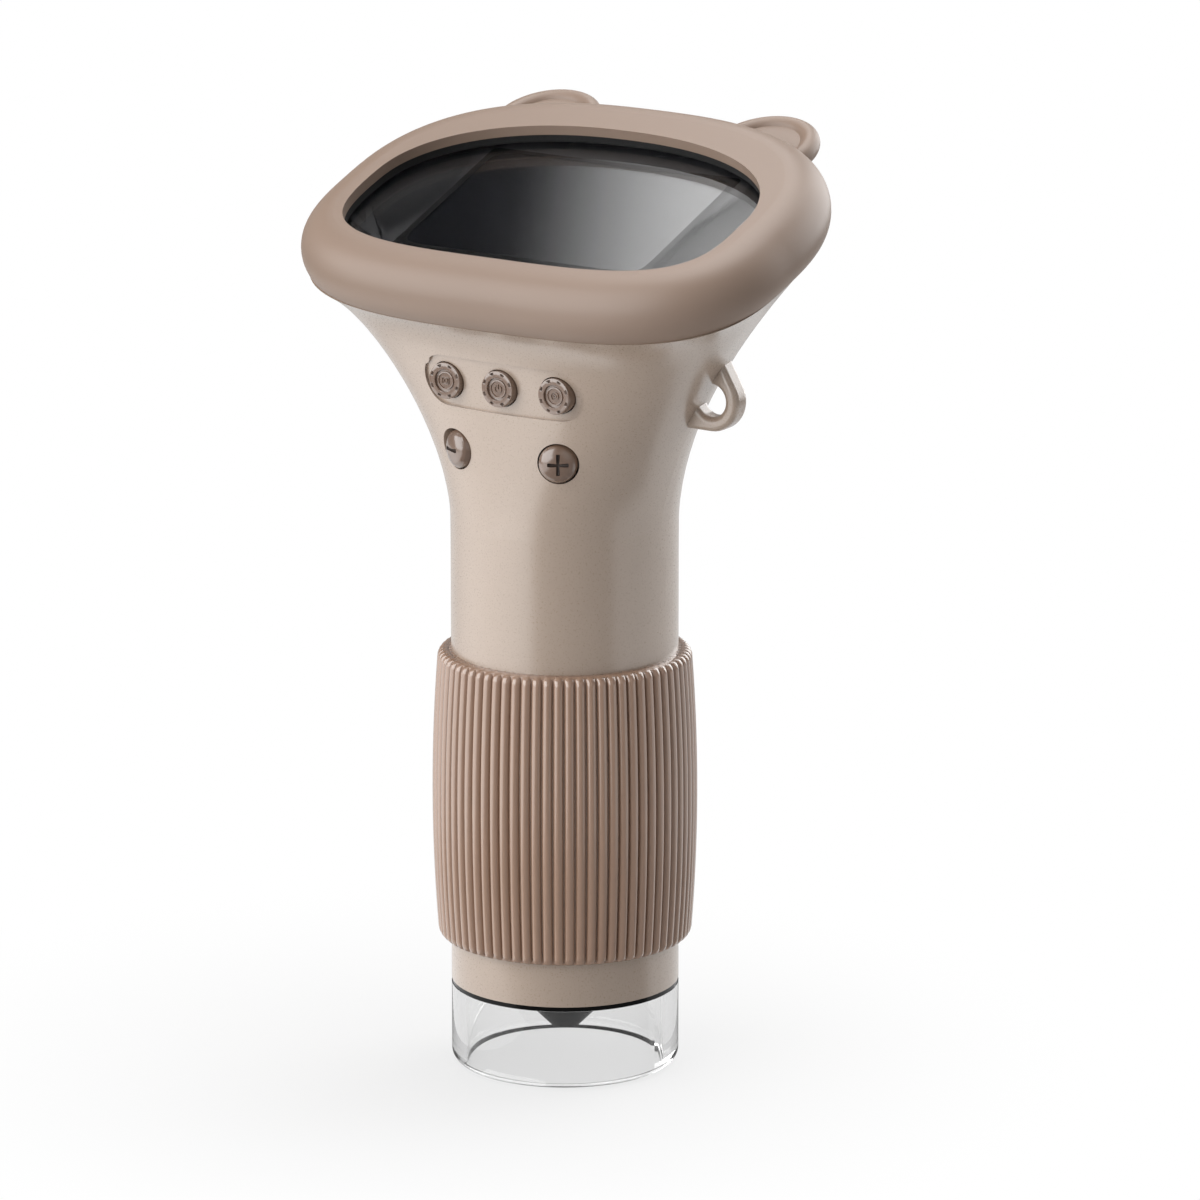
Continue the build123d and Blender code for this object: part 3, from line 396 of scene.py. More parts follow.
def grained(name, colour, roughness, grain, depth, values=None):
    """A moulded, lacquered or plated surface with one colour and a fine grain.

    grain is the size of one grain and depth its height, both in millimetres. A real mould's grain
    is 0.02 to 0.05 mm; it is drawn two to four times as coarse, so that it shows at all. Polished,
    printed and poured surfaces have a longer, flatter waviness instead.
    """
    material, tree = new_material(name)
    place = add_node(tree, "ShaderNodeTexCoord")
    base = linear(colour)
    darker = [c * (1 - tone_drift) for c in base[:3]] + [1.0]
    lighter = [min(1.0, c * (1 + tone_drift)) for c in base[:3]] + [1.0]
    cloud = add_node(
        tree,
        "ShaderNodeTexNoise",
        {"Scale": 1 / (tone_length * MM), "Detail": 3.0},
        {"Vector": place.outputs["Object"]},
    )
    tone = add_node(
        tree,
        "ShaderNodeMix",
        {6: darker, 7: lighter},
        {0: cloud.outputs["Fac"]},
        data_type="RGBA",
    )
    grains = add_node(
        tree,
        "ShaderNodeTexNoise",
        {"Scale": 1 / (2 * grain * MM), "Detail": 2.0, "Roughness": 0.6},
        {"Vector": place.outputs["Object"]},
    )
    sheen = add_node(
        tree,
        "ShaderNodeMapRange",
        {
            "From Min": 0.3,
            "From Max": 0.7,
            "To Min": roughness * (1 - shine_drift),
            "To Max": roughness * (1 + shine_drift),
        },
        {"Value": grains.outputs["Fac"]},
    )
    relief = add_node(
        tree,
        "ShaderNodeBump",
        {"Strength": 1.0, "Distance": depth * MM},
        {"Height": grains.outputs["Fac"]},
    )
    surface = add_node(
        tree,
        "ShaderNodeBsdfPrincipled",
        values,
        {
            "Base Color": tone.outputs[2],
            "Roughness": sheen.outputs["Result"],
            "Normal": relief.outputs["Normal"],
        },
    )
    add_node(tree, "ShaderNodeOutputMaterial", links={"Surface": surface.outputs["BSDF"]})
    return material


# %% A clear finish
haze_length = 6.0  # millimetres, how far the polish stays the same
polish_drift = 0.4


def clear(name, colour, roughness, ior, smoke=None):
    """A clear polished solid; smoke is the colour and density that dim a long way through it."""
    material, tree = new_material(name)
    place = add_node(tree, "ShaderNodeTexCoord")
    haze = add_node(
        tree,
        "ShaderNodeTexNoise",
        {"Scale": 1 / (haze_length * MM), "Detail": 2.0},
        {"Vector": place.outputs["Object"]},
    )
    polish = add_node(
        tree,
        "ShaderNodeMapRange",
        {"To Min": roughness * (1 - polish_drift), "To Max": roughness * (1 + polish_drift)},
        {"Value": haze.outputs["Fac"]},
    )
    surface = add_node(
        tree,
        "ShaderNodeBsdfPrincipled",
        {"Base Color": linear(colour), "IOR": ior, "Transmission Weight": 1.0},
        {"Roughness": polish.outputs["Result"]},
    )
    finish = add_node(tree, "ShaderNodeOutputMaterial", links={"Surface": surface.outputs["BSDF"]})
    if smoke:
        tint, density = smoke
        inside = add_node(
            tree, "ShaderNodeVolumeAbsorption", {"Color": linear(tint), "Density": density}
        )
        tree.links.new(inside.outputs[0], finish.inputs["Volume"])
    return material


# %% [markdown]
# ## Outer plastics
# Housing, ring and buttons are moulded ABS with a satin lacquer, each in its own beige. A lacquer
# is a thin smooth film on a slightly rough body, which is what a coat over a rougher base gives.
# The bumper is bare silicone, so it has no coat.

# %% Housing, bumper, ring and buttons
# ABS from a finely eroded mould under satin lacquer: a broad soft light band runs down the neck,
# and no grain is seen from a step away.
housing_abs = grained(
    "satin_moulded_abs",
    "#A29081",
    roughness=0.28,
    grain=0.12,
    depth=0.0001,
    values={
        "Specular IOR Level": 0.95,
        "Coat Weight": 0.6,
        "Coat Roughness": 0.24,
        "Coat IOR": 1.6,
    },
)
# Liquid silicone from a blasted mould: dull and soft, with a wide pale sheen on its round edge.
bumper_silicone = grained(
    "matt_moulded_silicone",
    "#867264",
    roughness=0.45,
    grain=0.1,
    depth=0.002,
    values={"Specular IOR Level": 0.6},
)
# Ribbed ABS under the same lacquer, a little smoother: each rib catches one thin light line.
ring_abs = grained(
    "satin_ribbed_abs",
    "#957763",
    roughness=0.2,
    grain=0.1,
    depth=0.0003,
    values={"Specular IOR Level": 1.0, "Coat Weight": 0.9, "Coat Roughness": 0.2},
)
# Darker ABS under a clear lacquer: the small caps stand out from the housing and glint.
button_abs = grained(
    "satin_button_abs",
    "#6E5748",
    roughness=0.24,
    grain=0.1,
    depth=0.002,
    values={"Specular IOR Level": 1.0, "Coat Weight": 0.7},
)
# Dark brown on the faces of the sunk signs: flat and dark, so minus and plus read from afar.
sign_groove_brown = grained(
    "dark_brown_sign_grooves", "#33261F", roughness=0.5, grain=0.2, depth=0.0005
)
print("outer plastics:", housing_abs.name, bumper_silicone.name, ring_abs.name, button_abs.name)

# %% [markdown]
# ## Black parts
# The parts near the screen and the lens are black so that they don't show. What tells them apart is
# the shine alone, from polished plastic to foam. A low specular level keeps the polished black
# deep, and stands for the dull skin of ink and anodising, which sends back little light.

# %% Black parts
# ABS from a polished mould: nearly black, with a small sharp glint on rim and nose.
black_gloss = grained(
    "polished_black_abs",
    "#050505",
    roughness=0.12,
    grain=0.2,
    depth=0.0005,
    values={"Specular IOR Level": 0.2},
)
# ABS from a coarser mould, for the frames inside: a dull black that stays in the background.
black_plastic = grained("moulded_black_abs", "#17171A", roughness=0.4, grain=0.12, depth=0.004)
# Closed-cell foam, cut with a die: it swallows the light between bumper and glass.
black_foam = grained("die_cut_black_foam", "#0C0C0D", roughness=0.8, grain=0.2, depth=0.02)
# Turned aluminium, anodised black: dark, with a faint even sheen.
anodised = grained(
    "black_anodised_aluminium",
    "#0E0E10",
    roughness=0.35,
    grain=0.05,
    depth=0.001,
    values={"Specular IOR Level": 0.2},
)
# Ink pressed through a screen onto the underside of the glass: no shine of its own, so the border
# looks as deep as the glass above it.
printed_black = grained(
    "screen_printed_black_ink",
    "#020203",
    roughness=0.6,
    grain=0.2,
    depth=0.0005,
    values={"Specular IOR Level": 0.1},
)
# A display that is switched off, under its polarising film: a smooth, nearly black mirror.
display = grained("polarised_display", "#101114", roughness=0.12, grain=0.2, depth=0.0003)
# Epoxy moulded round the card's chips: dark, with the soft shine of a new card.
card_black = grained("moulded_black_card", "#101012", roughness=0.35, grain=0.1, depth=0.002)
print("black parts:", black_gloss.name, black_plastic.name, black_foam.name, display.name)

# %% [markdown]
# ## Metals and electronics
# Screws, sockets and contacts are plated, and plating is bare metal: fully metallic, with its
# colour in the reflection. The boards have a green lacquer, the chips are moulded epoxy, and the
# battery is a pouch of foil. Most of them show only through the openings at the back, and the
# light sources through the clear foot, so plain finishes are enough.

# %% Metals and electronics
# Steel with a bright nickel plating: pale and crisp, only slightly soft.
steel = grained(
    "plated_steel", "#B7B9BC", roughness=0.28, grain=0.1, depth=0.001, values={"Metallic": 1.0}
)
# Hard gold plated on the card's copper: warm and bright.
gold = grained(
    "hard_gold_plating",
    "#D9B65C",
    roughness=0.25,
    grain=0.1,
    depth=0.0005,
    values={"Metallic": 1.0},
)
# Aluminium foil pressed round the cell, under a plastic film: bright, with a crinkled sheen.
foil = grained(
    "aluminium_foil_pouch",
    "#B9BCC2",
    roughness=0.35,
    grain=1.2,
    depth=0.05,
    values={"Metallic": 0.6},
)
# Lacquer that is poured over the board: green, smooth and a little glossy.
solder_mask = grained("green_solder_mask", "#1B5A33", roughness=0.3, grain=0.3, depth=0.004)
# Epoxy filled with quartz powder, pressed round the chip: a matt, dark grey block.
chip_epoxy = grained("moulded_chip_epoxy", "#1D1D20", roughness=0.55, grain=0.08, depth=0.004)
# Yellow phosphor cast in clear resin: a warm pale dot while the light is off.
led_resin = grained("yellow_led_resin", "#F2E7A8", roughness=0.35, grain=0.15, depth=0.003)
print("metals and electronics:", steel.name, gold.name, foil.name, solder_mask.name)

# %% [markdown]
# ## Clear parts
# The foot is a moulded tube of acrylic. Across its wall it is clear, but where one looks along the
# wall, at both sides and at the rim, the light has a long way to go and comes out grey. A weak
# absorption inside the solid gives just that, with no line drawn anywhere. The cover glass has an
# antireflective coating, which a lower index of refraction stands for.

# %% Clear parts
# Polished acrylic: crisp reflections, clear middle, smoky edges.
acrylic = clear(
    "polished_clear_acrylic", "#FFFFFF", roughness=0.01, ior=1.49, smoke=("#B8B8B8", 90.0)
)
# Coated flat glass: it mirrors only faintly, so the black print shows through it.
screen_glass = clear("antireflective_cover_glass", "#FFFFFF", roughness=0.01, ior=1.22)
# Ground and polished optical glass with a coating: clear, with a cool tinge.
lens_glass = clear("coated_lens_glass", "#E9F2FF", roughness=0.005, ior=1.52)
print("clear parts:", acrylic.name, screen_glass.name, lens_glass.name)

# %% [markdown]
# ## Materials on the CAD nodes
# The record names a material slot for each CAD node. Each slot is matched to one finish here, so
# every node gets the right one without being named again.

# %% Materials on the CAD nodes
slots = {
    "housing": housing_abs,
    "bumper": bumper_silicone,
    "grip": ring_abs,
    "acrylic": acrylic,
    "black_gloss": black_gloss,
    "screen_glass": screen_glass,
    "black_soft": black_foam,
    "display": display,
    "black_plastic": black_plastic,
    "black_metal": anodised,
    "lens_glass": lens_glass,
    "steel": steel,
    "circuit_board": solder_mask,
    "chip": chip_epoxy,
    "led": led_resin,
    "battery_wrap": foil,
    "card": card_black,
    "button": button_abs,
}
for part in frame["record"]["subparts"]:
    node = frame["nodes"][part["node"]]
    node.data.materials.clear()
    node.data.materials.append(slots[part["material_slot"]])

# %% [markdown]
# ## How the pieces are modelled
# Each new piece starts as a primitive and is shaped in edit mode, as by hand. A few small helpers
# keep the cells short: they select one piece or parts of its mesh by a test on their place, close
# and smooth a mesh, and move it into its place on the object.


# %% Selecting and placing
def select_only(piece):
    """One piece is selected and active, and nothing is in edit mode."""
    if bpy.context.object and bpy.context.object.mode == "EDIT":
        bpy.ops.object.mode_set(mode="OBJECT")
    bpy.ops.object.select_all(action="DESELECT")
    bpy.context.view_layer.objects.active = piece
    piece.select_set(True)


def edit(piece):
    """Edit mode on one piece, with nothing in it selected."""
    select_only(piece)
    bpy.ops.object.mode_set(mode="EDIT")
    bpy.ops.mesh.select_all(action="DESELECT")


def pick(piece, kind, test):
    """Selects the vertices, edges or faces of a piece in edit mode that pass a test."""
    bpy.ops.mesh.select_mode(type={"verts": "VERT", "edges": "EDGE", "faces": "FACE"}[kind])
    bpy.ops.mesh.select_all(action="DESELECT")
    mesh = bmesh.from_edit_mesh(piece.data)
    for element in getattr(mesh, kind):
        if test(element):
            element.select_set(True)
    mesh.select_flush_mode()
    bmesh.update_edit_mesh(piece.data)


def close_mesh(piece, sharp=35):
    """Merges doubled points, turns all faces outwards, smooths what is flatter than an angle."""
    edit(piece)
    bpy.ops.mesh.select_all(action="SELECT")
    bpy.ops.mesh.remove_doubles(threshold=HAIR / 10 * MM)
    bpy.ops.mesh.normals_make_consistent(inside=False)
    bpy.ops.object.mode_set(mode="OBJECT")
    bpy.ops.object.shade_smooth_by_angle(angle=radians(sharp))


def put(piece, turn=(0, 0, 0), shift=(0, 0, 0)):
    """Turns and shifts a mesh (degrees, millimetres) and leaves its object at the origin."""
    select_only(piece)
    piece.rotation_euler = [radians(angle) for angle in turn]
    piece.location = [distance * MM for distance in shift]
    bpy.ops.object.transform_apply(location=True, rotation=True, scale=True)


def join(name, pieces):
    """Joins pieces to one object."""
    select_only(pieces[0])
    for piece in pieces[1:]:
        piece.select_set(True)
    bpy.ops.object.join()
    pieces[0].name = name
    return pieces[0]


# %% [markdown]
# Caps, hoops and the ring's core are round, so they are turned, as on a lathe: a circle is extruded
# and scaled from one point of the outline to the next. Spinning a drawn outline would do as well,
# but it leaves a seam along the whole outline. Here only a tube's last ring is merged with its
# first.


# %% Turned solids
def turned(name, outline, segments):
    """A turned solid whose outline is a list of (radius, height) in millimetres.

    Where the outline ends at radius 0 the last ring is filled, otherwise the rings close to a tube.
    """
    radius, height = outline[0]
    bpy.ops.mesh.primitive_circle_add(vertices=segments, radius=radius * MM)
    piece = bpy.context.object
    piece.name = name
    edit(piece)
    bpy.ops.mesh.select_all(action="SELECT")
    bpy.ops.transform.translate(value=(0, 0, height * MM))
    if outline[-1][0] > 0:
        outline = outline + outline[:1]
    else:
        bpy.ops.mesh.edge_face_add()
    for next_radius, next_height in outline[1:]:
        if next_radius == 0:
            bpy.ops.mesh.edge_face_add()
            break
        rise = (0, 0, (next_height - height) * MM)
        bpy.ops.mesh.extrude_edges_move(TRANSFORM_OT_translate={"value": rise})
        ratio = next_radius / radius
        bpy.ops.transform.resize(value=(ratio, ratio, 1), center_override=(0, 0, 0))
        radius, height = next_radius, next_height
    close_mesh(piece)
    return piece


# %% [markdown]
# ## Focus ring
# The grip is an injection-moulded ring with 72 upright ribs, barrel-shaped and rounded over at both
# ends. The ribs are rounded bars with narrow gaps, which is what gives the dark lines between them.
# Grooves could be cut into a plain ring, but rounded crests come more easily as bars. So one bar is
# modelled: a block with its two outer edges bevelled, whose top face is extruded upwards row by row
# while it follows the barrel's arc. It is copied round a plain core, which is turned.

# %% Sizes of the ring, from the CAD model
ring_low, ring_high = 19.9, 64.7
ring_radius, ring_end_radius, ring_rounding = 20.05, 19.25, 1.4
rib_count, rib_depth, rib_width, rib_bevel = 72, 0.75, 1.52, 0.74
rib_root = 1.7  # how deep a bar is, from its crest into the core
arc_steps = 14
arc_half = (ring_high - ring_low) / 2 - ring_rounding
arc_sag = ring_radius - ring_end_radius
arc_radius = (arc_half**2 + arc_sag**2) / (2 * arc_sag)
ring_middle = (ring_low + ring_high) / 2


def crest(height):
    """Radius of the ribs' crests at a height, in millimetres."""
    return ring_radius - arc_radius + sqrt(arc_radius**2 - (height - ring_middle) ** 2)


end_rows = [
    (
        ring_end_radius - ring_rounding + ring_rounding * sin(radians(angle)),
        ring_rounding * (1 - cos(radians(angle))),
    )
    for angle in (0, 20, 40, 60, 80)
]
rib_rows = [(radius, ring_low + rise) for radius, rise in end_rows]
for step in range(arc_steps + 1):
    height = ring_low + ring_rounding + step / arc_steps * 2 * arc_half
    rib_rows.append((crest(height), height))
rib_rows += [(radius, ring_high - rise) for radius, rise in reversed(end_rows)]
print("rib rows:", len(rib_rows), "arc radius", round(arc_radius, 1), "mm")

# %% One rib
(end_radius, end_height), (second_radius, second_height) = rib_rows[:2]
first_rise = second_height - end_height


def is_outer_upright(edge):
    """True for the block's two upright edges on its outer side."""
    one, other = edge.verts
    outside = min(one.co.x, other.co.x) > (end_radius - HAIR) * MM
    return outside and abs(one.co.z - other.co.z) > HAIR * MM


bpy.ops.mesh.primitive_cube_add(size=MM)
rib = bpy.context.object
rib.name = "rib"
edit(rib)
bpy.ops.mesh.select_all(action="SELECT")
bpy.ops.transform.resize(value=(rib_root, rib_width, first_rise))
bpy.ops.transform.translate(
    value=((end_radius - rib_root / 2) * MM, 0, (end_height + first_rise / 2) * MM)
)
pick(rib, "edges", is_outer_upright)
bpy.ops.mesh.bevel(offset=rib_bevel * MM, segments=5, affect="EDGES")
pick(rib, "faces", lambda face: face.normal.z > 0.9)
bpy.ops.transform.translate(value=((second_radius - end_radius) * MM, 0, 0))
for (low_radius, low), (high_radius, high) in zip(rib_rows[1:], rib_rows[2:]):
    step_up = ((high_radius - low_radius) * MM, 0, (high - low) * MM)
    bpy.ops.mesh.extrude_region_move(TRANSFORM_OT_translate={"value": step_up})
close_mesh(rib, sharp=50)
print("one rib:", len(rib.data.polygons), "faces,", round(rib.dimensions.z / MM, 1), "mm high")

# %% Ribs copied round
ribs = [rib]
for index in range(1, rib_count):
    copy = rib.copy()
    copy.data = rib.data.copy()
    bpy.context.collection.objects.link(copy)
    put(copy, turn=(0, 0, 360 / rib_count * index))
    ribs.append(copy)
print("ribs:", len(ribs))

# %% Core of the ring, from the CAD model
core_edge_radius, core_inset, core_steps, core_segments = 17.9, 0.2, 12, 144
skirt_radius, skirt_top = 17.45, 20.7  # reaches over the tube's band
collar_radius, collar_low = 17.47, 60.7  # takes in the end of the neck
bore_radius = 16.95
drive_radius, drive_low, drive_high = 18.0, 34.0, 48.0  # room for the drive grooves
core_length = ring_high - ring_low - 2 * core_inset
core_heights = [
    ring_low + core_inset + step / core_steps * core_length for step in range(core_steps + 1)
]
core = turned(
    "core",
    [(skirt_radius, ring_low), (core_edge_radius, ring_low)]
    + [(crest(height) - rib_depth, height) for height in core_heights]
    + [
        (core_edge_radius, ring_high),
        (collar_radius, ring_high),
        (collar_radius, collar_low),
        (bore_radius, collar_low),
        (bore_radius, drive_high),
        (drive_radius, drive_high),
        (drive_radius, drive_low),
        (bore_radius, drive_low),
        (bore_radius, skirt_top),
        (skirt_radius, skirt_top),
    ],
    core_segments,
)
grip = join("ribbed_grip", [core] + ribs)
print("ring:", [round(size / MM, 1) for size in grip.dimensions], "mm")

# %% [markdown]
# ## Round buttons
# The three buttons on the pad are small moulded caps. Each has a bright outer land with eight small
# dimples, a sunk middle with a raised ring, and a plain sign in relief. The cap is turned, the
# dimples are faces of the land pushed inwards, and the signs are thin bars and hoops. The signs
# could be drawn as curves with a thickness, but bars and hoops are closed solids at once, and at
# 5 mm across the eye sees only the strokes.

# %% Sizes of a round cap
cap_face, cap_flange = 18.4, 14.75  # distances from the barrel axis
stem_low, flange_low = cap_flange - 1.7, cap_flange - 0.8
middle_face = cap_face - 0.4
land_outer, land_split, land_inner = 2.6, 2.1, 1.8
dimple_pitch, dimple_half = 45, 7.5  # degrees
dimple_rim, dimple_depth, dimple_play = 0.05, 0.5, 0.1
cap_outline = [
    # stem and flange, inside the housing
    (1.2, stem_low),
    (1.2, flange_low),
    (3.35, flange_low),
    (3.35, cap_flange),
    # wall and land
    (2.75, cap_flange),
    (2.75, cap_face - 0.2),
    (2.7, cap_face - 0.06),
    (land_outer, cap_face),
    (land_split, cap_face),
    (land_inner, cap_face),
    # groove, raised ring and sunk middle
    (1.73, cap_face - 0.06),
    (1.68, cap_face - 0.42),
    (1.42, cap_face - 0.44),
    (1.36, cap_face - 0.26),
    (1.2, cap_face - 0.24),
    (1.12, middle_face),
    (0, middle_face),
]


# %% A round cap
def is_dimple(face):
    """True for the faces of the land in the middle of each eighth of the turn."""
    centre = face.calc_center_median()
    turn = degrees(atan2(centre.y, centre.x)) % dimple_pitch
    off_land = abs(centre.xy.length - (land_outer + land_split) / 2 * MM)
    level = face.normal.z > 0.95
    return level and off_land < dimple_play * MM and abs(turn - dimple_pitch / 2) < dimple_half


def button_cap(name):
    """A button cap that points along +Z, its stem down, at its distance from the barrel axis."""
    cap = turned(name, cap_outline, 80)
    edit(cap)
    pick(cap, "faces", is_dimple)
    bpy.ops.mesh.inset(thickness=dimple_rim * MM, use_boundary=True)
    inwards = (0, 0, -dimple_depth * MM)
    bpy.ops.mesh.extrude_region_move(TRANSFORM_OT_translate={"value": inwards})
    bpy.ops.object.mode_set(mode="OBJECT")
    return cap


# %% Strokes of the signs
sign_rise, sign_root = 0.16, 0.1  # above the sunk middle and into it


def bar(length, width, place, turn=0.0):
    """A thin raised bar of a sign, lying on the sunk middle of a cap."""
    bpy.ops.mesh.primitive_cube_add(size=MM)
    piece = bpy.context.object
    edit(piece)
    bpy.ops.mesh.select_all(action="SELECT")
    bpy.ops.transform.resize(value=(length, width, sign_rise + sign_root))
    bpy.ops.mesh.bevel(offset=0.05 * MM, segments=2, affect="EDGES")
    bpy.ops.object.mode_set(mode="OBJECT")
    level = middle_face + (sign_rise - sign_root) / 2
    put(piece, turn=(0, 0, turn), shift=(place[0], place[1], level))
    return piece


def hoop(radius, width, opening=0):
    """A thin raised ring of a sign; opening is the angle left out at its top."""
    inner, outer = radius - width / 2, radius + width / 2
    low, high = middle_face - sign_root, middle_face + sign_rise
    piece = turned("hoop", [(outer, low), (outer, high), (inner, high), (inner, low)], 48)

    def at_top(face):
        centre = face.calc_center_median()
        return abs(degrees(atan2(centre.x, centre.y))) < opening / 2

    if opening:
        edit(piece)
        pick(piece, "faces", at_top)
        bpy.ops.mesh.delete(type="FACE")
        pick(piece, "edges", lambda edge: edge.is_boundary)
        bpy.ops.mesh.edge_face_add()
        bpy.ops.object.mode_set(mode="OBJECT")
    return piece


# %% Signs: a camera, the power sign, and a play arrow in a ring
signs = {
    "photo_button": [
        hoop(0.3, 0.14),
        bar(1.1, 0.12, (0, 0.5)),
        bar(1.1, 0.12, (0, -0.5)),
        bar(0.12, 1.0, (0.55, 0)),
        bar(0.12, 1.0, (-0.55, 0)),
    ],
    "power_button": [hoop(0.58, 0.15, opening=80), bar(0.15, 0.75, (0, 0.35))],
    "video_button": [
        hoop(0.62, 0.14),
        bar(0.7, 0.14, (-0.17, 0), 90),
        bar(0.62, 0.14, (0.06, 0.16), -32),
        bar(0.62, 0.14, (0.06, -0.16), 32),
    ],
}
print("strokes:", {name: len(strokes) for name, strokes in signs.items()})

# %% Three caps with their signs
button_pitch, pad_height, pad_bow = 9.65, 108.0, 90.0
button_places = (
    ("photo_button", -button_pitch),
    ("power_button", 0.0),
    ("video_button", button_pitch),
)
caps = {}
for name, place in button_places:
    cap = join("cap_" + name, [button_cap(name)] + signs[name])
    # the pad is bowed, so the outer caps lie deeper while their flanges stay in line
    fall = pad_bow - sqrt(pad_bow**2 - place**2)
    edit(cap)
    pick(cap, "verts", lambda vertex: vertex.co.z > (cap_flange + 0.1) * MM)
    bpy.ops.transform.translate(value=(0, 0, -fall * MM))
    bpy.ops.object.mode_set(mode="OBJECT")
    put(cap, turn=(90, 0, 0), shift=(place, 0, pad_height))
    caps[name] = cap
    print(name, "lies", round(fall, 2), "mm deeper than the middle")

# %% [markdown]
# ## Zoom buttons
# The two zoom buttons are domed caps with a minus and a plus sunk into them and coloured dark
# brown. The dome is turned with the rest of the cap. Each arm of the sign is a rounded bar that is
# taken away from the dome by a Boolean modifier, which keeps the dome's own curve round the sign,
# and hands the dark brown of the bar over to the walls of the groove.

# %% Sizes of a domed cap
zoom_wall, zoom_flange, zoom_edge, zoom_top = 17.55, 14.8, 0.4, 1.6
zoom_angle, zoom_height = 30, 97.3
arm_radius, arm_length, arm_sink = 0.3, 3.2, 0.2
dome_foot = zoom_edge + 0.1
dome = [
    (
        2.75 * cos(radians(angle)),
        zoom_wall + dome_foot + (zoom_top - dome_foot) * sin(radians(angle)),
    )
    for angle in range(10, 90, 10)
]
domed_outline = [
    # stem and flange, inside the housing
    (1.2, zoom_flange - 1.7),
    (1.2, zoom_flange - 0.8),
    (3.6, zoom_flange - 0.8),
    (3.6, zoom_flange),
    # wall and dome
    (2.9, zoom_flange),
    (2.9, zoom_wall + zoom_edge),
    (2.84, zoom_wall + dome_foot),
    *dome,
    (0, zoom_wall + zoom_top),
]


# %% Domed caps
def give_cap_and_groove_colours(piece):
    """Two materials for a zoom cap or an arm of its sign: the plastic and the dark brown of the
    grooves.
    """
    for material in (button_abs, sign_groove_brown):
        piece.data.materials.append(material)


def sign_arm(angle):
    """A round bar with soft ends across the top of a dome, dark brown all over."""
    bpy.ops.mesh.primitive_cylinder_add(vertices=24, radius=arm_radius * MM, depth=arm_length * MM)
    arm = bpy.context.object
    give_cap_and_groove_colours(arm)
    for face in arm.data.polygons:
        face.material_index = 1
    edit(arm)
    pick(arm, "edges", lambda edge: abs(edge.verts[0].co.z - edge.verts[1].co.z) < HAIR * MM)
    bpy.ops.mesh.bevel(offset=0.1 * MM, segments=2, affect="EDGES")
    bpy.ops.object.mode_set(mode="OBJECT")
    put(arm, turn=(0, 90, 0))
    put(arm, turn=(0, 0, angle), shift=(0, 0, zoom_wall + zoom_top - arm_sink))
    return arm


def domed_cap(name, angles):
    """A domed cap along +Z whose sunk sign has one arm per angle."""
    cap = turned(name, domed_outline, 72)
    give_cap_and_groove_colours(cap)
    for angle in angles:
        arm = sign_arm(angle)
        select_only(cap)
        cut = cap.modifiers.new("sign", "BOOLEAN")
        cut.operation = "DIFFERENCE"
        cut.solver = "EXACT"
        cut.object = arm
        bpy.ops.object.modifier_apply(modifier=cut.name)
        bpy.data.objects.remove(arm)
    close_mesh(cap, sharp=40)
    return cap


for name, side, angles in (("minus_button", -1, (0,)), ("plus_button", 1, (0, 90))):
    cap = domed_cap("cap_" + name, angles)
    put(cap, turn=(90, 0, 0))
    put(cap, turn=(0, 0, zoom_angle * side), shift=(0, 0, zoom_height))
    caps[name] = cap
    print(name, "arms:", len(angles))

# %% [markdown]
# ## Printed border under the glass
# The cover glass of a small display is printed black on its underside, apart from the window over
# the picture. A mask in the glass's material would do, but a real sheet also hides what lies under
# it from every side. So the print is a thin ring of faces between the D-shaped outline of the glass
# and the rounded rectangle of the picture, given its thickness by a Solidify modifier.


# %% D-shaped outlines
def rim_point(angle, half_width, front, rear, front_power, rear_power):
    """A point of a D-shaped outline made of two half superellipses, in millimetres."""
    across, along = cos(angle), sin(angle)
    depth, power = (front, front_power) if along < 0 else (rear, rear_power)
    x = half_width * abs(across) ** (2 / power)
    y = depth * abs(along) ** (2 / power)
    return (x if across > 0 else -x, y if along > 0 else -y)


# %% Printed border
print_steps, print_thickness, print_gap = 144, 0.03, 0.04
lip, gasket, glass = 1.6, 1.2, 1.2  # the layers between the bumper's face and the print
glass_outline = dict(half_width=34.2, front=19.7, rear=22.0, front_power=3.57, rear_power=2.22)
picture_outline = dict(half_width=21.0, front=14.0, rear=14.0, front_power=14, rear_power=14)
picture_shift = 2.0
print_level = -lip - gasket - glass - print_gap

bpy.ops.mesh.primitive_circle_add(vertices=print_steps, radius=MM)
border = bpy.context.object
border.name = "printed_border"
edit(border)
bpy.ops.mesh.select_all(action="SELECT")
bpy.ops.mesh.extrude_edges_move(TRANSFORM_OT_translate={"value": (0, 0, MM)})
mesh = bmesh.from_edit_mesh(border.data)
for vertex in mesh.verts:
    turn = atan2(vertex.co.y, vertex.co.x)
    if vertex.co.z < MM / 2:
        x, y = rim_point(turn, **glass_outline)
    else:
        x, y = rim_point(turn, **picture_outline)
        y += picture_shift
    vertex.co = Vector((x, y, print_level)) * MM
bmesh.update_edit_mesh(border.data)
bpy.ops.mesh.select_all(action="SELECT")
bpy.ops.mesh.normals_make_consistent(inside=False)
bpy.ops.object.mode_set(mode="OBJECT")
thickness = border.modifiers.new("thickness", "SOLIDIFY")
thickness.thickness = print_thickness * MM
select_only(border)
bpy.ops.object.modifier_apply(modifier=thickness.name)
put(border, turn=(head_tilt, 0, 0), shift=head_middle)
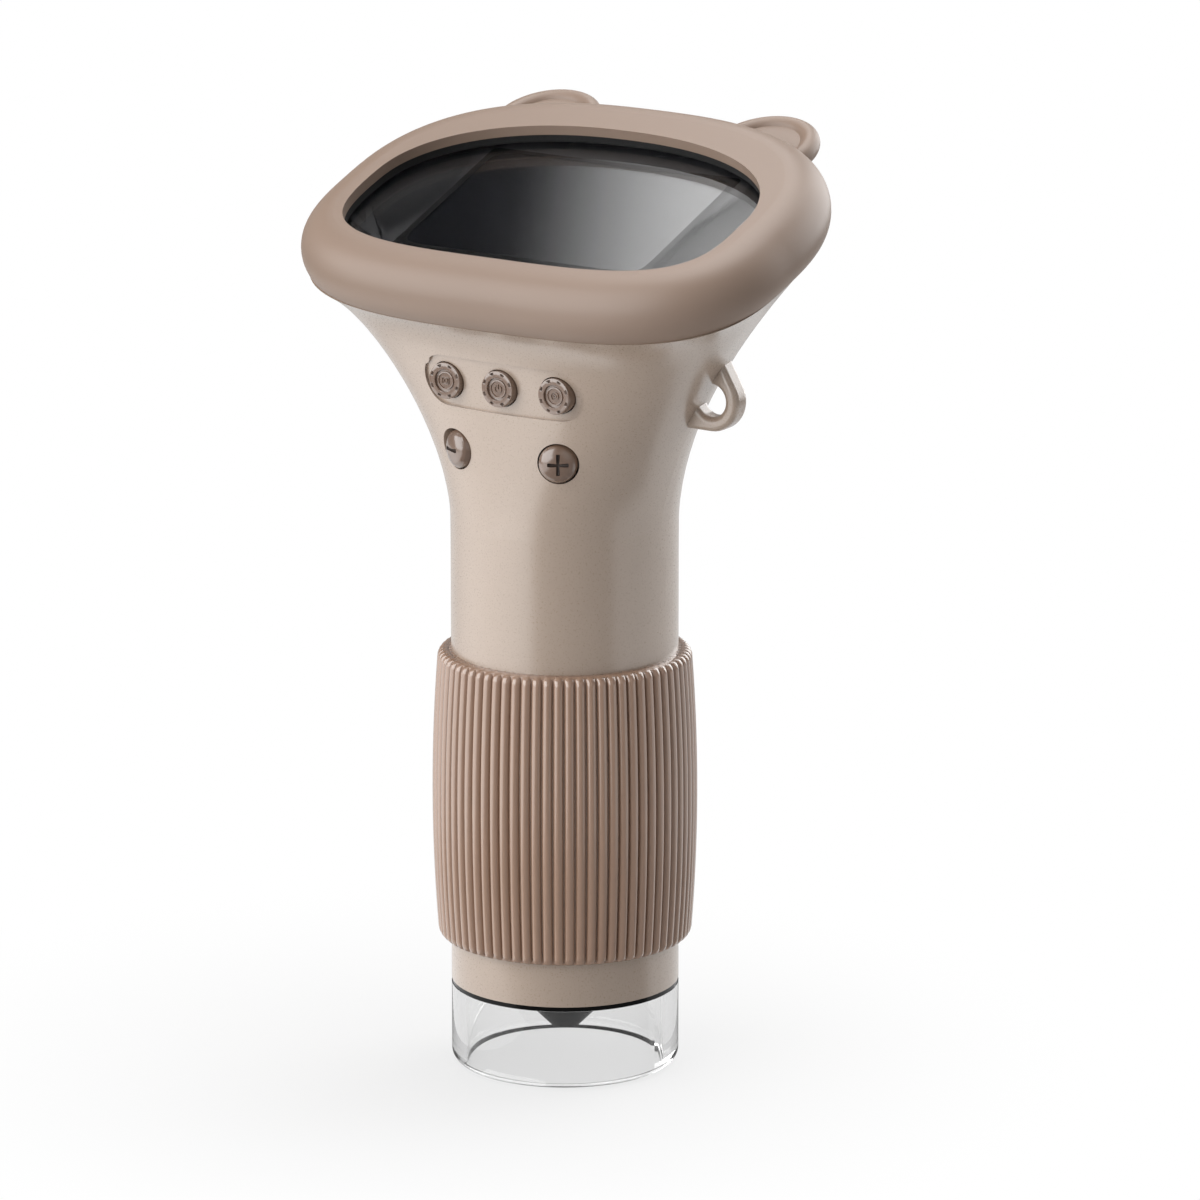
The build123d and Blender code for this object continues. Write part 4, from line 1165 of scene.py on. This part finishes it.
print("border:", [round(size / MM, 1) for size in border.dimensions], "mm")

# %% [markdown]
# ## Contacts of the memory card
# A micro-size card has eight flat contacts near its inner end, plated with gold on the underside.
# They could be painted on by a mask, but as solids they also show in the exported mesh. One contact
# is a block with rounded edges, copied in a row.

# %% Card contacts
card_offset, card_reach = 8.0, 18.0  # its middle to the right, and its outer end to the rear
card_width, card_length, card_thickness = 11.0, 15.0, 1.0
seat_depth, post_height, board_thickness, card_play = 8.92, 3.1, 1.2, 0.3  # from the rim down
card_low = -(seat_depth + post_height + board_thickness) - card_play - card_thickness
contact_count, contact_pitch = 8, 1.1
contact_size = (0.8, 2.9, 0.06)
side_inset, end_inset = 2.35, 2.2  # the first contact's middle from the card's side and inner end
first_x = card_offset - card_width / 2 + side_inset
contact_y = card_reach - card_length + end_inset

contacts = []
for index in range(contact_count):
    bpy.ops.mesh.primitive_cube_add(size=MM)
    contact = bpy.context.object
    edit(contact)
    bpy.ops.mesh.select_all(action="SELECT")
    bpy.ops.transform.resize(value=contact_size)
    bpy.ops.mesh.bevel(offset=0.02 * MM, segments=1, affect="EDGES")
    bpy.ops.object.mode_set(mode="OBJECT")
    put(contact, shift=(first_x + contact_pitch * index, contact_y, card_low - HAIR))
    contacts.append(contact)
card_contacts = join("card_contacts", contacts)
put(card_contacts, turn=(head_tilt, 0, 0), shift=head_middle)
print("contacts:", len(contacts))

# %% [markdown]
# ## Dressing
# Every new piece now gets its material, the body that it moves with and the CAD nodes that it
# stands for. The zoom caps already carry their plastic and their dark brown.


# %% Dress the pieces
def dress(piece, material, body, nodes=()):
    """Gives a piece its material and the body it rides on, and hides the CAD nodes it replaces."""
    if not piece.data.materials:
        piece.data.materials.append(material)
    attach(piece, body)
    if nodes:
        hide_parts(*nodes)
    print(piece.name, "faces:", len(piece.data.polygons), "on", body)


dress(grip, ring_abs, "focus_ring", ["focus_ring"])
for name, cap in caps.items():
    dress(cap, button_abs, name, [name])
dress(border, printed_black, "housing")
dress(card_contacts, gold, "memory_card")
